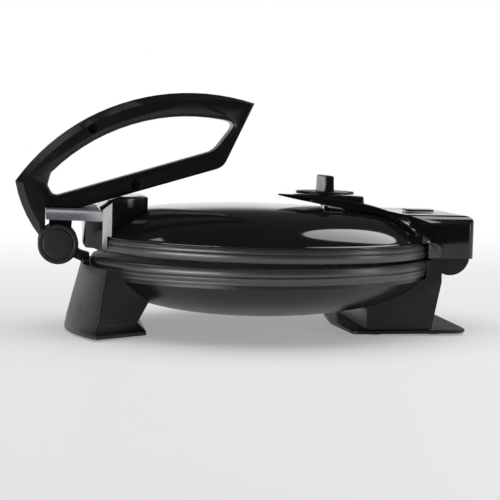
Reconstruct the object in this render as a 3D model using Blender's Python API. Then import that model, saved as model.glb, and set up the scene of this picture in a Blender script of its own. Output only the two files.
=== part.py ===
"""Electric flatbread maker: two round hotplates, a hinged domed lid and a press handle.

The frame is +Z up, the handle toward -Y, the hinge toward +Y, and the axes of both
hinges along X. Lengths are in metres. The plate frame has its origin at the middle
of the lower hotplate's cooking face. What stands at the front is drawn from the
plates' front edge and what stands at the back from their rear edge, so that both
follow the plates' size. The lid, drawn closed, is then raised at its front by the
small angle at which it rests on a full plate.
"""

import math

import bmesh
import bpy
from mathutils import Matrix, Vector

# Where the plate frame stands
PLATE_Y = 0.01713
PLATE_HEIGHT = 0.059

# Clearances and cuts
GAP = 0.0003
RUN_GAP = 0.0004
OVERRUN = 0.02
TURN_STEPS = 48

# Hotplates
PLATE_RADIUS = 0.135
PLATE_CLOSED_GAP = 0.0012
PLATE_SKIRT = 0.0125
PLATE_THICKNESS = 0.007
PLATE_WALL = 0.004
PLATE_LAND = 0.0085
PLATE_DISH_RADIUS = PLATE_RADIUS - PLATE_LAND
PLATE_DISH_DEPTH = 0.0010
PLATE_EDGE = 0.0008
GROOVE_DEPTH = 0.0014
GROOVE_WIDTH = 0.0012
BEAD_HEIGHT = 0.0006
BEAD_WIDTH = 0.0026
FIRST_GROOVE = 0.0044
UPPER_SKIRT = 0.0105

# Heating
ELEMENT_INSET = 0.0470
ELEMENT_RADIUS = PLATE_RADIUS - ELEMENT_INSET
ELEMENT_TUBE = 0.0032
ELEMENT_GAP_ANGLE = math.radians(44)
SHIELD_INSET = 0.0310
SHIELD_RADIUS = PLATE_RADIUS - SHIELD_INSET
SHIELD_HOLE = 0.012
SHIELD_THICKNESS = 0.0008

# Lower bowl
BOWL_INSET = 0.0025
BOWL_RADIUS = PLATE_RADIUS - BOWL_INSET
BOWL_WALL = 0.0022
BOWL_LIP = 0.0024
BOWL_BULGE_INSET = 0.0205
BOWL_BULGE_RADIUS = BOWL_RADIUS - BOWL_BULGE_INSET
BOWL_BULGE_DROP = 0.0260
BOWL_FLAT_INSET = 0.0825
BOWL_FLAT_RADIUS = BOWL_RADIUS - BOWL_FLAT_INSET
BOWL_DEPTH = 0.0312

# Lid dome
DOME_LIP_INSET = 0.0004
DOME_LIP_RADIUS = PLATE_RADIUS - DOME_LIP_INSET
DOME_INSET = 0.0011
DOME_RADIUS = DOME_LIP_RADIUS - DOME_INSET
DOME_LIP = 0.0012
DOME_WALL = 0.0020
DOME_SHOULDER_INSET = 0.0185
DOME_SHOULDER_RADIUS = DOME_RADIUS - DOME_SHOULDER_INSET
DOME_SHOULDER_RISE = 0.0192
DOME_CROWN_INSET = 0.0535
DOME_CROWN_RADIUS = DOME_RADIUS - DOME_CROWN_INSET
DOME_CROWN_RISE = 0.0218
DOME_RISE = 0.0250

# Lid hinge
HINGE_Y = 0.0060
HINGE_Z = 0.0035
LID_REST_TILT = math.radians(0.85)
KNUCKLE_RADIUS = 0.0155
CHEEK_RADIUS = 0.0150
CHEEK_INNER_X = 0.0496
CHEEK_OUTER_X = 0.0590
HINGE_PIN_RADIUS = 0.0030
HINGE_PIN_END_X = 0.0577
HINGE_PIN_START_X = 0.0415
LID_KNUCKLE_INNER_X = 0.0410
LID_KNUCKLE_OUTER_X = 0.0490
LID_KNUCKLE_RADIUS = 0.0075
LID_KNUCKLE_STEM = 0.0050

# Rear foot
REAR_FOOT_FRONT_Y = -0.0596
REAR_FOOT_BACK_Y = -0.0081
REAR_FOOT_NECK_Y = -0.0005
REAR_FOOT_NECK = 0.0055
REAR_FOOT_TOP_Z = 0.0005
REAR_FOOT_SHOULDER_Y = -0.0350
REAR_FOOT_SHOULDER_DROP = 0.0105
LID_SLOT = 0.0032
FLANGE_THICKNESS = 0.0030
FLANGE_HALF_WIDTH = 0.0620
FLANGE_FRONT_Y = -0.0765
FLANGE_FRONT_CORNER_Y = -0.0710
FLANGE_BACK_Y = 0.0210
FLANGE_CORNER_RADIUS = 0.0140
PAD_RADIUS = 0.0070
PAD_HEIGHT = 0.0012
REAR_PAD_X = 0.046
REAR_PAD_FRONT_Y = -0.0510
REAR_PAD_BACK_Y = -0.0040
GROMMET_RADIUS = 0.0052
GROMMET_FLANGE_RADIUS = 0.0078
GROMMET_FLANGE = 0.0024
GROMMET_LENGTH = 0.0080
GROMMET_BORE = 0.0032
GROMMET_DROP = 0.0330

# Front foot, level by level: half width and place of the corner, front and back
FOOT_TOP_DROP = 0.0060
FOOT_TOE_DROP = 0.0480
FOOT_TOP_CORNER = (0.0720, 0.0085)
FOOT_TOP_FRONT_Y = -0.0080
FOOT_TOP_BACK = (0.0660, 0.0550)
FOOT_TOE_CORNER = (0.0795, 0.0020)
FOOT_TOE_FRONT_Y = -0.0195
FOOT_TOE_BACK = (0.0550, 0.0335)
FOOT_SOLE_CORNER = (0.0820, 0.0010)
FOOT_SOLE_FRONT_Y = -0.0210
FOOT_SOLE_BACK = (0.0570, 0.0400)
FRONT_PAD_X = 0.058
FRONT_PAD_Y = 0.0070

# Press handle pivot
PIVOT_Y = -0.0263
PIVOT_Z = 0.0044
PIVOT_PIN_RADIUS = 0.0040
PIVOT_PIN_HALF = 0.0146
HUB_RADIUS = 0.0158
CAP_RADIUS = 0.0158
CAP_THICKNESS = 0.0014

# Press handle
HANDLE_HALF_WIDTH = 0.0150
HANDLE_ARC_RADIUS = 0.1675
HANDLE_VERTEX = (-0.0600, 0.0526)
HANDLE_TIP = (0.1256, 0.1177)
LEG_FOOT_Y = -0.0402
LEG_FOOT_Z = 0.0095
LEG_BULGE = 0.0030
HANDLE_TAIL_Y = 0.1020
HANDLE_TAIL_Z = 0.0670
HANDLE_TAIL_RADIUS = 0.0130
HEEL_END_Y = -0.0101
HEEL_FILLET = 0.0030
HEEL_CORNER_SHARE = 0.25
LEG_INNER = 0.0101
HANDLE_BAR = 0.0142
HANDLE_TOP_BAR = 0.0139
GRIP_ARC_DROP = 0.0045
HANDLE_BACK_BAR = 0.0132
GRIP_LEFT_Y = -0.0352
GRIP_LEFT_Z = 0.0500
GRIP_CORNER_Y = -0.0305
GRIP_LEFT_RADIUS = 0.0060
GRIP_TAIL_RADIUS = 0.0160
GRIP_TIP_RADIUS = 0.0050
OUTER_CHAMFER = 0.0056
SMALL_CHAMFER = 0.0012
INNER_FILLET = 0.0043
PARTING = 0.00015
FORK_HALF = 0.0106
FORK_FRONT_Z = 0.0040
SCREW_HEAD_RADIUS = 0.0034
SCREW_SHANK_RADIUS = 0.0016
SCREW_HEAD = 0.0020
SCREW_RECESS = 0.0045
SCREW_LENGTH = 0.0180
UPPER_SCREW_SHARE = 0.3545
UPPER_SCREW_DEPTH = 0.0093
LOWER_SCREW = (0.0328, 0.0520)

# Front bracket on the lid
TONGUE_TIP_Y = -0.0360
TONGUE_TOP_Z = 0.0325
TONGUE_THICKNESS = 0.0078
TONGUE_TIP_HALF = 0.0380
LUG_INNER_X = 0.0061
LUG_OUTER_X = 0.0102
LUG_RADIUS = 0.0088
LUG_FRONT_Y = -0.0330
LUG_BACK_Y = -0.0150
SKIRT_FRONT_Y = -0.0075
SKIRT_CORNER = (0.0400, -0.0060)
SKIRT_SHOULDER = (0.0520, 0.0065)
SKIRT_WAIST = (0.0545, 0.0135)
LEAF_SIDE = (0.0480, 0.0280)
LEAF_BACK = (0.0360, 0.0415)
SKIRT_BOTTOM_Z = 0.0040
SKIRT_CORNER_RADIUS = 0.0030
LEAF_FOOT_Y = 0.0050
LEAF_RISE_Y = 0.0133
LEAF_RISE_Z = 0.0392
LEAF_TOP_Y = 0.0213
LEAF_TOP_Z = 0.0419
LEAF_BACK_Z = 0.0428
BRACKET_BEVEL = 0.0012

# Front yoke on the base
YOKE_HALF = 0.0057
YOKE_HEAD_RADIUS = 0.0095
YOKE_CROWN_Z = 0.0036
YOKE_BACK_Y = -0.0016
YOKE_FRONT_Y = -0.0070
YOKE_TOP_Z = 0.0012
YOKE_WAIST_Y = -0.0090
YOKE_WAIST_Z = 0.0036
YOKE_FLANGE_HALF = 0.018
YOKE_FLANGE = 0.0030

# Rear housing on the lid
ARM_TIP_Y = -0.1216
ARM_TIP_Z = 0.0466
ARM_CREST_Y = -0.0730
ARM_CREST_Z = 0.0442
PLATFORM_FRONT_Y = -0.1100
PLATFORM_BACK_Y = -0.0575
PLATFORM_Z = 0.0468
PLATFORM_HALF = 0.0270
PLATFORM_RAMP = (-0.0480, 0.0427)
PLATFORM_END_Y = -0.0460
ARM_SLOPE_Y = -0.0470
ARM_SLOPE_Z = 0.0375
ARM_FOOT_Y = -0.0278
DRUM_TOP_Z = 0.0345
DRUM_BACK_Y = 0.0246
DRUM_BOTTOM_Z = 0.0012
DRUM_BACK_RADIUS = 0.0075
DRUM_HALF = 0.0618
ARM_POINT_HALF = 0.0140
ARM_POINT_Y = -0.1050
ARM_WAIST_HALF = 0.0440
ARM_WAIST_Y = -0.0690
ARM_END_HALF = 0.0470
ARM_END_Y = -0.0470
HOUSING_WALL = 0.0022
HOUSING_BEVEL = 0.0012
DRUM_SHOULDER = 0.0110
BEAK_TIP = 0.0022
BEAK_MIDDLE = (-0.1050, 0.0428)
BEAK_ROOT = (-0.0830, 0.0350)
WING_TOP = (-0.0750, 0.0440)
WING_MIDDLE = (-0.0470, 0.0365)
WING_FOOT = (-0.0020, 0.0100)
WING_WAIST = (0.0500, -0.0470)
WING_SHOULDER = (0.0660, -0.0278)
WING_TIP = (0.0690, -0.0190)
CAVITY_FRONT_Y = -0.0400
CAVITY_TOP_Z = 0.0225

# Indicator
LENS_HALF_WIDTH = 0.0110
LENS_FRONT_Y = -0.0175
LENS_BACK_Y = 0.0055
LENS_HEIGHT = 0.0018
LENS_CORNER_SHARE = 0.5
LAMP_RADIUS = 0.0032
LAMP_HEIGHT = 0.0040
POWER_LAMP_Y = -0.0115
READY_LAMP_Y = -0.0005

# Thermostat
KNOB_Y = -0.0835
KNOB_RADIUS = 0.0236
KNOB_DISC = 0.0022
KNOB_LIFT = 0.0006
GRIP_HALF_LENGTH = 0.0205
GRIP_WIDTH = 0.0085
GRIP_HEIGHT = 0.0126
KNOB_BEVEL = 0.0008
SHAFT_RADIUS = 0.0030
SHAFT_IN_KNOB = 0.0070
THERMOSTAT_WIDTH = 0.026
THERMOSTAT_HEIGHT = 0.0130
TERMINAL_LENGTH = 0.034
TERMINAL_WIDTH = 0.014
TERMINAL_HEIGHT = 0.011
TERMINAL_Y = 0.060


def clear_scene():
    """Empty the scene of objects."""
    for old in list(bpy.data.objects):
        bpy.data.objects.remove(old, do_unlink=True)


def material(name, colour, roughness, metallic=0.0):
    """A plain Principled material."""
    made = bpy.data.materials.new(name)
    made.use_nodes = True
    shader = made.node_tree.nodes["Principled BSDF"]
    shader.inputs["Base Color"].default_value = (*colour, 1.0)
    shader.inputs["Roughness"].default_value = roughness
    shader.inputs["Metallic"].default_value = metallic
    return made


def empty(name, location, parent=None, tilt=0.0):
    """An empty that carries a moving group."""
    made = bpy.data.objects.new(name, None)
    made.location = location
    made.rotation_euler.x = tilt
    made.parent = parent
    bpy.context.scene.collection.objects.link(made)
    return made


def place(name, bm, look, group):
    """Turn a bmesh into an object of a group: its empty, that empty's place and the drawing's own Y."""
    bmesh.ops.remove_doubles(bm, verts=bm.verts, dist=GAP / 100)
    bmesh.ops.recalc_face_normals(bm, faces=bm.faces)
    mesh = bpy.data.meshes.new(name)
    bm.to_mesh(mesh)
    bm.free()
    made = bpy.data.objects.new(name, mesh)
    if look:
        mesh.materials.append(look)
    parent, origin, edge = group
    made.parent = parent
    made.location = Vector((0, edge, 0)) - Vector(origin)
    bpy.context.scene.collection.objects.link(made)
    mesh.shade_smooth()
    mesh.set_sharp_from_angle(angle=math.radians(32))
    return made


def drawn_from(group, edge):
    """The same group for pieces drawn from another Y, such as an edge of the plates."""
    return group[:2] + (edge,)


def turned_mesh(profile, steps=TURN_STEPS, closed=False):
    """Spin a profile of (radius, height) points round Z."""
    bm = bmesh.new()
    points = [bm.verts.new((radius, 0.0, height)) for radius, height in profile]
    pairs = list(zip(points, points[1:]))
    if closed:
        pairs.append((points[-1], points[0]))
    edges = [bm.edges.new(pair) for pair in pairs]
    bmesh.ops.spin(
        bm,
        geom=points + edges,
        axis=(0, 0, 1),
        cent=(0, 0, 0),
        angle=math.tau,
        steps=steps,
        use_merge=True,
    )
    return bm


def turned_part(name, profile, look, group, steps=TURN_STEPS, closed=False):
    """A piece turned round the plate's middle line."""
    return place(name, turned_mesh(profile, steps, closed), look, group)


def turned_along(name, profile, centre, axis, look, group, steps=28, closed=False):
    """A piece turned round an axis through a centre."""
    bm = turned_mesh(profile, steps, closed)
    turn = Vector((0, 0, 1)).rotation_difference(Vector(axis)).to_matrix()
    bmesh.ops.rotate(bm, verts=bm.verts, cent=(0, 0, 0), matrix=turn)
    bmesh.ops.translate(bm, verts=bm.verts, vec=centre)
    return place(name, bm, look, group)


def prism_mesh(outline, low, high, along):
    """Extrude a flat outline from low to high along X (outline is y, z) or Z (outline is x, y)."""
    bm = bmesh.new()
    if along == "X":
        corners = [(low, first, second) for first, second in outline]
        step = Vector((high - low, 0, 0))
    else:
        corners = [(first, second, low) for first, second in outline]
        step = Vector((0, 0, high - low))
    face = bm.faces.new([bm.verts.new(corner) for corner in corners])
    top = bmesh.ops.extrude_face_region(bm, geom=[face])
    moved = [item for item in top["geom"] if isinstance(item, bmesh.types.BMVert)]
    bmesh.ops.translate(bm, verts=moved, vec=step)
    bmesh.ops.recalc_face_normals(bm, faces=bm.faces)
    return bm


def prism(name, outline, low, high, along, look, group):
    """A piece with one outline all the way through."""
    return place(name, prism_mesh(outline, low, high, along), look, group)


def cutter(made):
    """Mark a helper that only shapes another piece."""
    made.hide_render = True
    made.display_type = "WIRE"
    return made


def combine(target, other, operation):
    """Add a Boolean modifier."""
    change = target.modifiers.new(other.name, "BOOLEAN")
    change.operation = operation
    change.object = other
    change.solver = "EXACT"


def bevel(target, width, segments=2, angle=math.radians(30)):
    """Round the edges of a piece."""
    change = target.modifiers.new("Edge rounding", "BEVEL")
    change.width = width
    change.segments = segments
    change.limit_method = "ANGLE"
    change.angle_limit = angle
    change.use_clamp_overlap = True


def arc(centre, radius, start, end, steps):
    """Points on a circle, from one angle to another, in degrees."""
    points = []
    for step in range(steps + 1):
        angle = math.radians(start + (end - start) * step / steps)
        across = centre[0] + radius * math.cos(angle)
        up = centre[1] + radius * math.sin(angle)
        points.append((across, up))
    return points


def bezier(first, pull, last, steps):
    """A curve from first to last that leaves and arrives toward pull."""
    points = []
    for step in range(steps + 1):
        share = step / steps
        weights = ((1 - share) ** 2, 2 * share * (1 - share), share**2)
        both = zip(first, pull, last)
        points.append(tuple(sum(w * v for w, v in zip(weights, values)) for values in both))
    return points


def rounded(corners, steps=4):
    """Round the corners of an outline; each corner is (point, radius)."""
    points = []
    for index, (corner, radius) in enumerate(corners):
        here = Vector(corner)
        if not radius:
            points.append(tuple(here))
            continue
        before = (Vector(corners[index - 1][0]) - here).normalized()
        after = (Vector(corners[(index + 1) % len(corners)][0]) - here).normalized()
        reach = radius / math.tan(before.angle(after) / 2)
        points += bezier(here + before * reach, here, here + after * reach, steps)
    return points


def mirrored(half):
    """Close a half outline of (x, y) points, front to back, with its mirror image."""
    left = [(-x, y) for x, y in reversed(half) if x > 0]
    return list(half) + left


def plate_profile(face, skirt, up):
    """Half section of a hotplate whose cooking face is at face and whose body lies toward up."""
    body = PLATE_THICKNESS
    second = FIRST_GROOVE + GROOVE_WIDTH + BEAD_WIDTH
    groove = PLATE_RADIUS - GROOVE_DEPTH
    bead = PLATE_RADIUS + BEAD_HEIGHT
    inside = PLATE_RADIUS - PLATE_WALL
    steps = [
        (0.0, PLATE_DISH_DEPTH),
        (PLATE_DISH_RADIUS - PLATE_DISH_DEPTH, PLATE_DISH_DEPTH),
        (PLATE_DISH_RADIUS, 0.0),
        (PLATE_RADIUS - PLATE_EDGE, 0.0),
        (PLATE_RADIUS, PLATE_EDGE),
        (PLATE_RADIUS, FIRST_GROOVE),
        (groove, FIRST_GROOVE + GROOVE_WIDTH / 3),
        (groove, FIRST_GROOVE + GROOVE_WIDTH),
        (bead - BEAD_HEIGHT, FIRST_GROOVE + GROOVE_WIDTH),
        (bead, FIRST_GROOVE + GROOVE_WIDTH + BEAD_WIDTH / 2),
        (bead - BEAD_HEIGHT, second),
        (groove, second),
        (groove, second + GROOVE_WIDTH),
        (PLATE_RADIUS - PLATE_EDGE, second + GROOVE_WIDTH + PLATE_EDGE),
        (PLATE_RADIUS - PLATE_EDGE, skirt),
        (inside, skirt),
        (inside, body),
        (0.0, body),
    ]
    return [(radius, face + up * height) for radius, height in steps]


def bowl_curve(inset, lip, steps=8):
    """Half section of the bowl from its lip to its middle, inset by a wall."""
    top = -PLATE_SKIRT - GAP
    edge = (BOWL_RADIUS - inset, top - lip)
    pull = (BOWL_BULGE_RADIUS - inset, top - BOWL_BULGE_DROP + inset)
    flat = (BOWL_FLAT_RADIUS, top - BOWL_DEPTH + inset)
    return [(BOWL_RADIUS - inset, top)] + bezier(edge, pull, flat, steps) + [(0.0, flat[1])]


def dome_base():
    """Height of the lid's seam above the plate frame."""
    return PLATE_CLOSED_GAP + UPPER_SKIRT + GAP


def dome_curve(inset, steps=9):
    """Half section of the dome from its edge to its crown, inset by a wall."""
    low = dome_base() + DOME_LIP
    edge = (DOME_RADIUS - inset, low)
    shoulder = (DOME_SHOULDER_RADIUS - inset, low + DOME_SHOULDER_RISE - inset)
    crown_start = (DOME_CROWN_RADIUS, low + DOME_CROWN_RISE - inset)
    middle = (DOME_CROWN_RADIUS / 2, low + DOME_RISE - inset)
    crown = (0.0, low + DOME_RISE - inset)
    side = bezier(edge, shoulder, crown_start, steps)
    return side + bezier(crown_start, middle, crown, steps // 2)[1:]


def lid_envelope(name, group, rim_gap):
    """Turned cutter that clears the upper plate and the dome."""
    low = PLATE_CLOSED_GAP - OVERRUN
    top = dome_base() + DOME_LIP + GAP
    wide = PLATE_RADIUS + BEAD_HEIGHT + rim_gap
    profile = [(0.0, low), (wide, low), (wide, top)]
    profile += [(radius, height) for radius, height in dome_curve(-GAP)]
    return cutter(turned_part(name, profile, None, drawn_from(group, 0.0)))


def base_envelope(name, group, lid_gap):
    """Turned cutter that clears the bowl, the lower plate and the lid's rim above it."""
    wide = PLATE_RADIUS + BEAD_HEIGHT + GAP
    split = -GAP
    profile = [(0.0, OVERRUN), (wide + lid_gap, OVERRUN), (wide + lid_gap, split), (wide, split)]
    profile += [(wide, -PLATE_SKIRT - BOWL_LIP)]
    profile += bowl_curve(-GAP, BOWL_LIP)[1:]
    return cutter(turned_part(name, profile, None, drawn_from(group, 0.0)))


def make_plates(looks, base, lid):
    """The two cast hotplates."""
    lower = plate_profile(0.0, PLATE_SKIRT, -1)
    turned_part("lower_hotplate", lower, looks["cast"], base)
    upper = plate_profile(PLATE_CLOSED_GAP, UPPER_SKIRT, 1)
    turned_part("upper_hotplate", upper, looks["cast"], lid)


def make_element(name, height, look, group):
    """A tubular heating element: nearly a full ring with its ends apart at the back."""
    curve = bpy.data.curves.new(name, "CURVE")
    curve.dimensions = "3D"
    curve.bevel_depth = ELEMENT_TUBE
    curve.bevel_resolution = 1
    curve.use_fill_caps = True
    start = math.degrees(math.pi / 2 + ELEMENT_GAP_ANGLE / 2)
    end = start + math.degrees(math.tau - ELEMENT_GAP_ANGLE)
    points = arc((0.0, 0.0), ELEMENT_RADIUS, start, end, 36)
    spline = curve.splines.new("POLY")
    spline.points.add(len(points) - 1)
    for point, (across, along) in zip(spline.points, points):
        point.co = (across, along, height, 1.0)
    made = bpy.data.objects.new(name, curve)
    curve.materials.append(look)
    parent, origin, edge = group
    made.parent = parent
    made.location = Vector((0, edge, 0)) - Vector(origin)
    bpy.context.scene.collection.objects.link(made)


def make_shield(name, height, look, group):
    """A thin heat shield ring behind the element."""
    low, high = sorted((height, height + SHIELD_THICKNESS))
    profile = [(SHIELD_HOLE, low), (SHIELD_RADIUS, low), (SHIELD_RADIUS, high), (SHIELD_HOLE, high)]
    turned_part(name, profile, look, group, 48, closed=True)


def make_heating(looks, base, lid):
    """Elements and heat shields of both plates."""
    lower = -PLATE_THICKNESS - GAP - ELEMENT_TUBE
    make_element("lower_element", lower, looks["steel"], base)
    make_shield("lower_heat_shield", lower - ELEMENT_TUBE - GAP - SHIELD_THICKNESS, looks["foil"], base)
    upper = PLATE_CLOSED_GAP + PLATE_THICKNESS + GAP + ELEMENT_TUBE
    make_element("upper_element", upper, looks["steel"], lid)
    make_shield("upper_heat_shield", upper + ELEMENT_TUBE + GAP, looks["foil"], lid)
    reach = ELEMENT_TUBE + SHIELD_THICKNESS + 2 * GAP
    return lower - reach, upper + reach


def make_bowl(looks, base):
    """The pressed bowl under the lower plate."""
    outer = bowl_curve(0.0, BOWL_LIP)
    inner = bowl_curve(BOWL_WALL, BOWL_LIP, 5)
    turned_part("base_bowl", list(reversed(outer)) + inner, looks["bowl"], base)


def make_dome(looks, lid):
    """The glossy pressed dome with its rolled lip, open for the thermostat's shaft."""
    low = dome_base()
    lip = [(DOME_LIP_RADIUS, low), (DOME_LIP_RADIUS, low + DOME_LIP)]
    inside = [(DOME_RADIUS - DOME_WALL, low)]
    outer = lip + dome_curve(0.0)
    inner = inside + dome_curve(DOME_WALL, 5)
    dome = turned_part("lid_dome", list(reversed(outer)) + inner, looks["gloss"], lid)
    hole = shaft_hole("dome_shaft_hole", drawn_from(lid, PLATE_RADIUS))
    combine(dome, hole, "DIFFERENCE")


def shaft_hole(name, lid):
    """Cutter for the thermostat's shaft."""
    low = dome_base()
    radius = SHAFT_RADIUS + RUN_GAP
    profile = [(0.0, low), (radius, low), (radius, PLATFORM_Z + OVERRUN), (0.0, PLATFORM_Z + OVERRUN)]
    return cutter(turned_along(name, profile, (0, KNOB_Y, 0), (0, 0, 1), None, lid, 20))


def rear_foot_outline():
    """Side outline of the rear foot with its quarter-round back under the hinge."""
    sole = -PLATE_HEIGHT + PAD_HEIGHT + FLANGE_THICKNESS + 2 * GAP
    drop = math.degrees(math.asin((REAR_FOOT_TOP_Z - HINGE_Z) / KNUCKLE_RADIUS))
    start = -90 - math.degrees(math.asin((HINGE_Y - REAR_FOOT_NECK_Y) / KNUCKLE_RADIUS))
    outline = [
        (REAR_FOOT_FRONT_Y, sole),
        (REAR_FOOT_BACK_Y, sole),
        (REAR_FOOT_NECK_Y, HINGE_Z - KNUCKLE_RADIUS - REAR_FOOT_NECK),
    ]
    outline += arc((HINGE_Y, HINGE_Z), KNUCKLE_RADIUS, start, drop, 9)
    outline += [
        (REAR_FOOT_SHOULDER_Y, REAR_FOOT_TOP_Z),
        (REAR_FOOT_FRONT_Y, REAR_FOOT_TOP_Z - REAR_FOOT_SHOULDER_DROP),
    ]
    return outline


def hinge_cheeks(name, group):
    """The two round cheeks that hold the hinge pins, as one helper of two discs."""
    outline = arc((HINGE_Y, HINGE_Z), CHEEK_RADIUS, 0, 348, 29)
    near = prism_mesh(outline, CHEEK_INNER_X, CHEEK_OUTER_X, "X")
    far = prism_mesh(outline, -CHEEK_OUTER_X, -CHEEK_INNER_X, "X")
    helper = bpy.data.meshes.new(name)
    far.to_mesh(helper)
    near.from_mesh(helper)
    far.free()
    return cutter(place(name, near, None, group))


def hinge_bore(name, group):
    """Cutter for the hinge pins, blind in the cheeks of the foot."""
    outline = arc((HINGE_Y, HINGE_Z), HINGE_PIN_RADIUS + GAP, 0, 340, 17)
    reach = HINGE_PIN_END_X + GAP
    return cutter(prism(name, outline, -reach, reach, "X", None, group))


def knuckle_slots(foot, base):
    """Cut the slots in which the lid's knuckles turn."""
    radius = LID_KNUCKLE_RADIUS + RUN_GAP
    outline = [(HINGE_Y + OVERRUN, HINGE_Z - radius), (HINGE_Y + OVERRUN, HINGE_Z + OVERRUN)]
    outline += [(HINGE_Y - radius, HINGE_Z + OVERRUN)]
    outline += arc((HINGE_Y, HINGE_Z), radius, 180, 270, 7)
    for side, name in ((1, "slot_near"), (-1, "slot_far")):
        ends = sorted((side * (LID_KNUCKLE_INNER_X - RUN_GAP), side * (LID_KNUCKLE_OUTER_X + RUN_GAP)))
        combine(foot, cutter(prism(name, outline, *ends, "X", None, base)), "DIFFERENCE")


def lid_knuckles(housing, lid):
    """Add the two knuckles that hang from the roof of the housing to the hinge pins."""
    outline = arc((HINGE_Y, HINGE_Z), LID_KNUCKLE_RADIUS, 140, 400, 16)
    outline += [(HINGE_Y + LID_KNUCKLE_STEM, CAVITY_TOP_Z + GAP)]
    outline += [(HINGE_Y - LID_KNUCKLE_STEM, CAVITY_TOP_Z + GAP)]
    for side, name in ((1, "knuckle_near"), (-1, "knuckle_far")):
        ends = sorted((side * LID_KNUCKLE_INNER_X, side * LID_KNUCKLE_OUTER_X))
        combine(housing, cutter(prism(name, outline, *ends, "X", None, lid)), "UNION")


def make_rear_foot(looks, base):
    """The rear foot block, its spreading sole plate and its hinge pins."""
    foot = prism("rear_foot", rear_foot_outline(), -CHEEK_OUTER_X, CHEEK_OUTER_X, "X", looks["satin"], base)
    combine(foot, hinge_cheeks("cheek_shape", base), "UNION")
    combine(foot, base_envelope("rear_foot_clearance", base, LID_SLOT), "DIFFERENCE")
    knuckle_slots(foot, base)
    combine(foot, hinge_bore("base_hinge_bore", base), "DIFFERENCE")
    combine(foot, grommet_hole(base), "DIFFERENCE")

    for side, name in ((1, "hinge_pin_near"), (-1, "hinge_pin_far")):
        outline = arc((HINGE_Y, HINGE_Z), HINGE_PIN_RADIUS, 0, 340, 17)
        ends = sorted((side * HINGE_PIN_START_X, side * HINGE_PIN_END_X))
        prism(name, outline, *ends, "X", looks["steel"], base)

    floor = -PLATE_HEIGHT + PAD_HEIGHT + GAP
    half = [((0.0, FLANGE_FRONT_Y), 0)]
    half.append(((FLANGE_HALF_WIDTH, FLANGE_FRONT_CORNER_Y), FLANGE_CORNER_RADIUS / 2))
    half.append(((FLANGE_HALF_WIDTH, FLANGE_BACK_Y), FLANGE_CORNER_RADIUS))
    half.append(((0.0, FLANGE_BACK_Y), 0))
    flange = bow(rounded(half))
    plate = prism("rear_sole_plate", flange, floor, floor + FLANGE_THICKNESS, "Z", looks["satin"], base)
    bevel(plate, FLANGE_THICKNESS / 5, 1)


def bow(half):
    """Mirror a half outline whose two ends lie on the middle line."""
    return half + [(-x, y) for x, y in reversed(half[1:-1])]


def grommet_place():
    """Middle and direction of the lead's entry, square to the sloping back of the rear foot."""
    low = Vector((0, *rear_foot_outline()[1]))
    high = Vector((0, *rear_foot_outline()[2]))
    share = (-GROMMET_DROP - low.z) / (high.z - low.z)
    slope = (high - low).normalized()
    outward = Vector((0, slope.z, -slope.y))
    return low + (high - low) * share + outward * GAP, outward


def grommet_hole(base):
    """Cutter for the mains lead's grommet in the back of the rear foot."""
    radius = GROMMET_RADIUS + GAP
    depth = GROMMET_LENGTH + 2 * GAP
    profile = [(0.0, -depth), (radius, -depth), (radius, OVERRUN), (0.0, OVERRUN)]
    centre, outward = grommet_place()
    return cutter(turned_along("grommet_hole", profile, centre, outward, None, base, 20))


def make_grommet(looks, base):
    """Rubber grommet where the mains lead enters."""
    profile = [
        (GROMMET_BORE, -GROMMET_LENGTH),
        (GROMMET_RADIUS, -GROMMET_LENGTH),
        (GROMMET_RADIUS, 0.0),
        (GROMMET_FLANGE_RADIUS, 0.0),
        (GROMMET_FLANGE_RADIUS - GROMMET_FLANGE / 3, GROMMET_FLANGE),
        (GROMMET_BORE, GROMMET_FLANGE),
    ]
    centre, outward = grommet_place()
    turned_along("lead_grommet", profile, centre, outward, looks["rubber"], base, 20, closed=True)


def foot_level(corner, front_y, back):
    """Plan outline of the front foot at one level: a bowed front and sides that draw in."""
    half_width, corner_y = corner
    sagitta = corner_y - front_y
    radius = (half_width**2 + sagitta**2) / (2 * sagitta)
    spread = math.degrees(math.asin(half_width / radius))
    front = arc((0.0, front_y + radius), radius, -90 - spread, -90 + spread, 12)
    return front + [back, (-back[0], back[1])]


def make_front_foot(looks, base):
    """The front foot: one moulding that tapers upward and spreads at its sole."""
    floor = -PLATE_HEIGHT + PAD_HEIGHT + GAP
    levels = [
        (floor, foot_level(FOOT_SOLE_CORNER, FOOT_SOLE_FRONT_Y, FOOT_SOLE_BACK)),
        (floor + FLANGE_THICKNESS, foot_level(FOOT_SOLE_CORNER, FOOT_SOLE_FRONT_Y, FOOT_SOLE_BACK)),
        (-FOOT_TOE_DROP, foot_level(FOOT_TOE_CORNER, FOOT_TOE_FRONT_Y, FOOT_TOE_BACK)),
        (-FOOT_TOP_DROP, foot_level(FOOT_TOP_CORNER, FOOT_TOP_FRONT_Y, FOOT_TOP_BACK)),
    ]
    bm = bmesh.new()
    rings = [[bm.verts.new((x, y, z)) for x, y in outline] for z, outline in levels]
    bm.faces.new(rings[0])
    bm.faces.new(rings[-1])
    join_rings(bm, rings)
    foot = place("front_foot", bm, looks["satin"], base)
    bevel(foot, 2 * FLANGE_THICKNESS / 5, 2, math.radians(50))
    combine(foot, base_envelope("front_foot_clearance", base, 0.0), "DIFFERENCE")


def join_rings(bm, rings):
    """Walls between rings of equal count."""
    for low, high in zip(rings, rings[1:]):
        count = len(low)
        for index in range(count):
            after = (index + 1) % count
            bm.faces.new((low[index], low[after], high[after], high[index]))


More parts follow.
